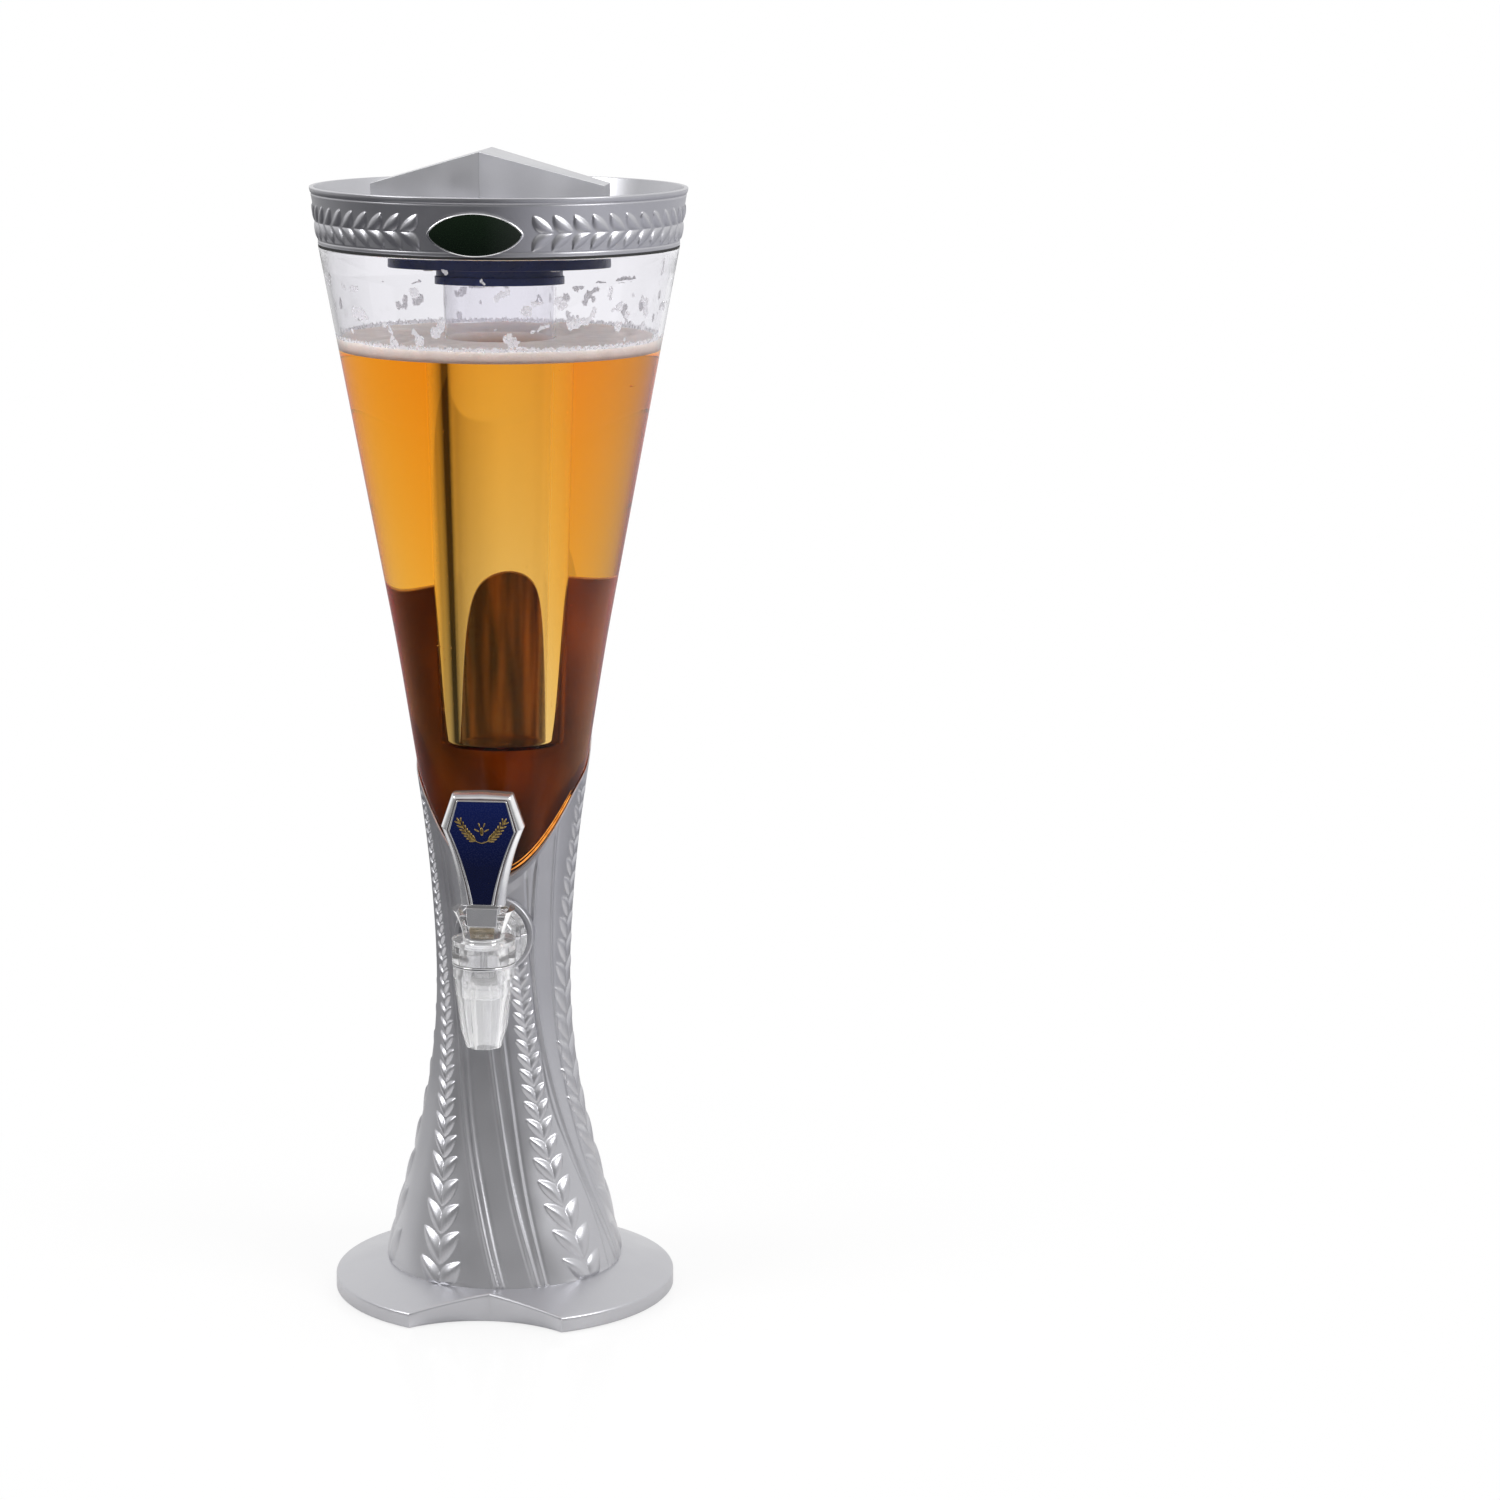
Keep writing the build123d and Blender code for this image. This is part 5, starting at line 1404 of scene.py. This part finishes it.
class MakeLid(bpy.types.Operator):
    """Lid band with its wreath of leaves, badge, crown and gasket"""

    bl_idname = "tower.make_lid"
    bl_label = "Lid"

    def execute(self, context):
        shape = context.scene.tower_shape
        self.make_band(shape.band_leaf_height / MM)
        dress("lid_crown", finish("silver_paint"), 0.6, flat=True)
        dress("lid_gasket", finish("rubber"), 0.2)
        self.make_badge()
        return {"FINISHED"}

    def band_relief(self, angle, z, tall):
        """Pairs of leaves that meet at mid height and point towards the badge."""
        middle, pitch, start, radius, length, clear_back = 578.3, 10.6, 29.6, 96.5, 14.5, 8
        place = (np.abs(angle) * radius - start) / pitch
        high = np.zeros_like(z)
        last = (pi * radius - clear_back - start) / pitch
        for step in (0, 1):
            index = np.floor(place) - step + 1
            down = (index - place) * pitch
            there = (index >= 1) & (index <= last)
            h = leaf(np.abs(z - middle) - 0.2, down, length, 0.225, radians(38))
            high = np.maximum(high, np.where(there, h, 0))
        return tall * high

    def ridge(self, z, height, width, tall):
        """A fine ridge, or a groove where it is negative, round the band at a height."""
        return tall * np.exp(-(((z - height) / width) ** 2))

    def make_band(self, tall):
        """A closed stack of rings: under the deck, round the foot, up the face and back over the deck."""
        columns, rows = 1100, 76
        angle = circle(columns)
        turn = (angle + pi) % (2 * pi) - pi
        (foot, low), (waist, _), (top, high) = BAND
        z = np.linspace(low + 0.5, high - 0.6, rows)[:, None] + 0 * angle
        face = BAND_LINE(z) - BAND_SINK
        leaves = self.band_relief(np.broadcast_to(turn, z.shape), z, tall)
        grooves = self.ridge(z, 592.6, 0.35, -0.3) + self.ridge(z, 568.6, 0.3, -0.25)
        edge = self.ridge(z, 594.3, 1.2, 0.25)
        bore = cone(SHOULDER) - LIP_INSET + 0.3
        under = rounded([(0.0, DECK[0]), (bore, DECK[0], 0.5), (bore, low, 0.2), (foot - 1, low)])[1:-1]
        curl = (BAND_LINE(BAND_CURL) - BAND_SINK, BAND_CURL, 0)
        hem = rounded([(foot - 1, low, 0), (foot - 0.1, low, 0.5), curl])[:-1]
        over = rounded(
            [(top - 0.6, high - 2, 0), (top - 0.05, high, 0.7), (top - BAND_WALL, high, 0.5)]
            + [(waist - BAND_WALL, DECK[1], 1.5), (0.0, DECK[1])],
            5,
        )[1:-1]
        rings = [turned_points(under, columns), turned_points(hem, columns)]
        rings.append(ring_points(face + leaves + grooves + edge, angle, z).reshape(-1, 3))
        rings += [turned_points(over, columns), [(0, 0, DECK[0]), (0, 0, DECK[1])]]
        faces = capped(len(under) + len(hem) + rows + len(over), columns)
        band = add_mesh("lid_band", np.vstack(rings), faces, finish("silver_paint"), 50)
        seat(band, "lid", "silver_paint", "lid_shell")

    def make_badge(self):
        """An oval of domed enamel in a slim bright rim, given as (share of the oval, proud of the band)."""
        rim = [(0.93, -0.4), (1.0, -0.4), (1.0, 0.9), (0.99, 1.25), (0.97, 1.4)]
        rim += [(0.95, 1.3), (0.94, 1.0), (0.93, 0.6)]
        rings = [self.oval(share, proud) for share, proud in rim]
        spokes = len(rings[0])
        faces = ring_faces(len(rings), spokes, loop=True)
        seat(add_mesh("badge_rim", np.vstack(rings), faces, finish("chrome"), 50), "lid", "chrome", "badge")
        sunk, edge, dome = -0.35, 1.2, 0.8
        shares = np.linspace(0.07, 0.955, 14)
        back = [self.oval(share, sunk) for share in shares]
        face = [self.oval(share, edge + dome * (1 - share**2.2)) for share in shares[::-1]]
        poles = [self.oval(0, sunk)[:1], self.oval(0, edge + dome)[:1]]
        faces = capped(2 * len(shares), spokes)
        points = np.vstack([*back, *face, *poles])
        seat(add_mesh("badge_enamel", points, faces, finish("green_enamel"), 60), "lid", "green_enamel")

    def oval(self, share, proud):
        """A ring on the band, between an ellipse and a pointed oval, at a share of its size."""
        half_wide, half_high, middle, spokes = 24.5, 11.0, 577.5, 128
        turn = circle(spokes)
        reach = (half_wide**2 - half_high**2) / (2 * half_high)
        x = half_wide * np.cos(turn)
        pointed = np.sign(np.sin(turn)) * (np.sqrt((half_high + reach) ** 2 - x**2) - reach)
        z = middle + share * (0.45 * pointed + 0.55 * half_high * np.sin(turn))
        r = BAND_LINE(z) + proud - 0.1
        return np.stack([x * share, -np.sqrt(r**2 - (x * share) ** 2), z], -1)


class MakeTap(bpy.types.Operator):
    """Tap: flange, clear body and nozzle, bonnet, valve and lever"""

    bl_idname = "tower.make_tap"
    bl_label = "Tap"

    def execute(self, context):
        for node in ("tap_body", "nozzle"):
            clear(dress(node, finish("crystal_plastic"), 0.25))
        clear(dress("stem_gland", finish("amber_plastic"), 0.3))
        for node in ("tap_flange", "trim_ring"):
            dress(node, finish("chrome"), 0.3)
        for node in ("bonnet", "lever_knuckle"):
            dress(node, finish("bright_chrome"), 0.4)
        self.make_handle()
        self.make_sprig()
        dress("handle_inlay", finish("blue_enamel"), 0.0)
        for node in ("wall_washer", "nut_washer", "flange_washer", "stem_ring", "valve_plug"):
            dress(node, finish("rubber"), 0.15)
        for node in ("shank_nut", "tap_shank", "pivot_pins", "valve_stem", "lift_pin"):
            dress(node, finish("steel"), 0.15)
        return {"FINISHED"}

    def arc(self, first, middle, last):
        """Points on the round arc through three points."""
        (ax, ay), (bx, by), (cx, cy) = first, middle, last
        turn = 2 * (ax * (by - cy) + bx * (cy - ay) + cx * (ay - by))
        a, b, c = ax * ax + ay * ay, bx * bx + by * by, cx * cx + cy * cy
        px = (a * (by - cy) + b * (cy - ay) + c * (ay - by)) / turn
        py = (a * (cx - bx) + b * (ax - cx) + c * (bx - ax)) / turn
        radius = hypot(ax - px, ay - py)
        start, end = atan2(ay - py, ax - px), atan2(cy - py, cx - px)
        sweep = (end - start + pi) % (2 * pi) - pi
        turns = [start + sweep * t for t in np.linspace(0, 1, 25)]
        return [(px + radius * cos(a), py + radius * sin(a)) for a in turns]

    def outline(self, sizes, corner):
        """The right and left side of the handle or its inlay, from its foot's middle round to it again."""
        foot, waist, shoulder, head, top = sizes
        bend = self.arc(foot, waist, shoulder)
        climb = [tuple(np.array(shoulder) + (np.array(head) - shoulder) * t) for t in np.linspace(0, 1, 10)]
        half = rounded(
            [(0, foot[1]), (foot[0] / 2, foot[1], 0), (*foot, 0.6)]
            + [(*p, 0) for p in bend[1:-1]]
            + [(*shoulder, 0.8)]
            + [(*p, 0) for p in climb[1:-1]]
            + [(*head, corner), (head[0] / 2, (head[1] + top) / 2, 0), (0, top)],
            5,
        )
        return np.array(half + [(-x, z) for x, z in reversed(half[1:-1])])

    def make_handle(self):
        """A plated frame: a fine raised lip round the inlay, a groove and a broad rounded shoulder."""
        inner, outer = self.outline(INLAY, 2.0), self.outline(HANDLE, 3.5)
        lip = [(0.0, -1.4), (0.0, 0.1), (0.03, 0.3), (0.09, 0.36), (0.15, 0.28)]
        groove = [(0.19, 0.0), (0.22, -0.6), (0.28, -0.7)]
        front = [(0.32, -0.4), (0.38, -0.2), (0.5, -0.35), (0.62, -0.75), (0.74, -1.3), (0.85, -1.95)]
        flank = [(0.94, -2.7), (0.985, -3.4), (1.0, -4.2), (1.0, -8.0), (0.97, -9.0), (0.9, -9.7)]
        section = lip + groove + front + flank + [(0.8, -HANDLE_DEPTH), (0.2, -HANDLE_DEPTH)]
        rings = []
        for share, lift in section:
            x, z = (inner + (outer - inner) * share).T
            rings.append(np.stack([x, 0 * x + TAP_Y - HANDLE_FACE - lift, z + SHANK_Z], -1))
        ends = section[0], section[-1]
        poles = [(0, TAP_Y - HANDLE_FACE - lift, SHANK_Z + HANDLE_MIDDLE) for _, lift in ends]
        faces = capped(len(rings), len(inner))
        handle = add_mesh("handle", np.vstack([*rings, poles]), faces, finish("bright_chrome"), 40)
        # Painted shade: the faces deep in the groove take the darker plating.
        handle.data.materials.append(finish("groove_shade_chrome"))
        sunk = range(len(lip) * len(inner), len(lip + groove) * len(inner))
        for face in handle.data.polygons:
            face.material_index = int(all(v in sunk for v in face.vertices))
        seat(handle, "lever", "chrome", "lever_handle")

    def make_sprig(self):
        """Two small gilt ears of grain on the inlay, each grain at (x, z, turn, half length, half width)."""
        stalk, grain, side_leaf, bud, heart = (1.3, 0.22), (1.9, 0.5), (1.6, 0.5), (1.5, 0.45), (2.3, 1.0)
        reach, rise, curl, spread, aside = 10.4, 2.2, 7.6, 0.6, 1.7
        thick, sunk = 0.35, 0.02
        places = []
        for side in (-1, 1):
            for k, t in enumerate(np.linspace(0.0, 1.0, 9)):
                x, z = side * (0.6 + reach * t), -5.2 + rise * t + curl * t * t
                lean = atan2(rise + 2 * curl * t, reach)
                places.append((x, z, self.mirrored(side, lean), *stalk))
                for turn in (-spread, spread) if k > 1 else ():
                    way = lean + turn
                    dx, dz = side * cos(way) * aside, sin(way) * aside
                    places.append((x + dx, z + dz, self.mirrored(side, way), *grain))
            places.append((side * 12.2, 6.6, pi / 2 - side * 0.5, *side_leaf))
            places.append((side * 2.6, 1.4, side * 0.5, *bud))
            places.append((side * 1.3, 4.2, pi / 2 - side * 0.4, 1.3, 0.4))
        places.append((0.0, 0.8, pi / 2, *heart))
        grains = []
        for x, z, turn, length, half in places:
            middle = Matrix.Translation((x, TAP_Y - HANDLE_FACE - sunk, SHANK_Z + INLAY_MIDDLE + z))
            squash = Matrix.Diagonal((length, thick, half, 1.0))
            grains.append((1.0, middle @ Matrix.Rotation(-turn, 4, "Y") @ squash))
        seat(add_balls("inlay_sprig", grains, finish("gilt"), 60), "lever", "chrome")

    def mirrored(self, side, way):
        """A direction on the right side, or its mirror image on the left."""
        return way if side > 0 else pi - way


class TOWER_PT_panel(bpy.types.Panel):
    """Makes the drinks tower piece by piece"""

    bl_idname = "TOWER_PT_panel"
    bl_label = "Drinks tower"
    bl_space_type = "VIEW_3D"
    bl_region_type = "UI"
    bl_category = "Drinks tower"

    def draw(self, context):
        for group in ("tower_shape", "tower_finishes", "tower_stage"):
            settings = getattr(context.scene, group)
            box = self.layout.box()
            for key in settings.__annotations__:
                box.prop(settings, key)
        for step in STEPS:
            self.layout.operator(step.bl_idname)


STEPS = (MakeStage, MakeFoot, MakeColumn, MakeBarrel, MakeDrink, MakeIceTube, MakeLid, MakeTap)
GROUPS = {"tower_shape": TowerShape, "tower_finishes": TowerFinishes, "tower_stage": TowerStage}


def register():
    for group in GROUPS.values():
        bpy.utils.register_class(group)
    for name, group in GROUPS.items():
        setattr(bpy.types.Scene, name, PointerProperty(type=group))
    for step in (*STEPS, TOWER_PT_panel):
        bpy.utils.register_class(step)


def unregister():
    for step in reversed((*STEPS, TOWER_PT_panel)):
        bpy.utils.unregister_class(step)
    for name, group in GROUPS.items():
        delattr(bpy.types.Scene, name)
        bpy.utils.unregister_class(group)


def main():
    register()
    for step in STEPS:
        group, name = step.bl_idname.split(".")
        getattr(getattr(bpy.ops, group), name)()


if __name__ == "__main__":
    main()
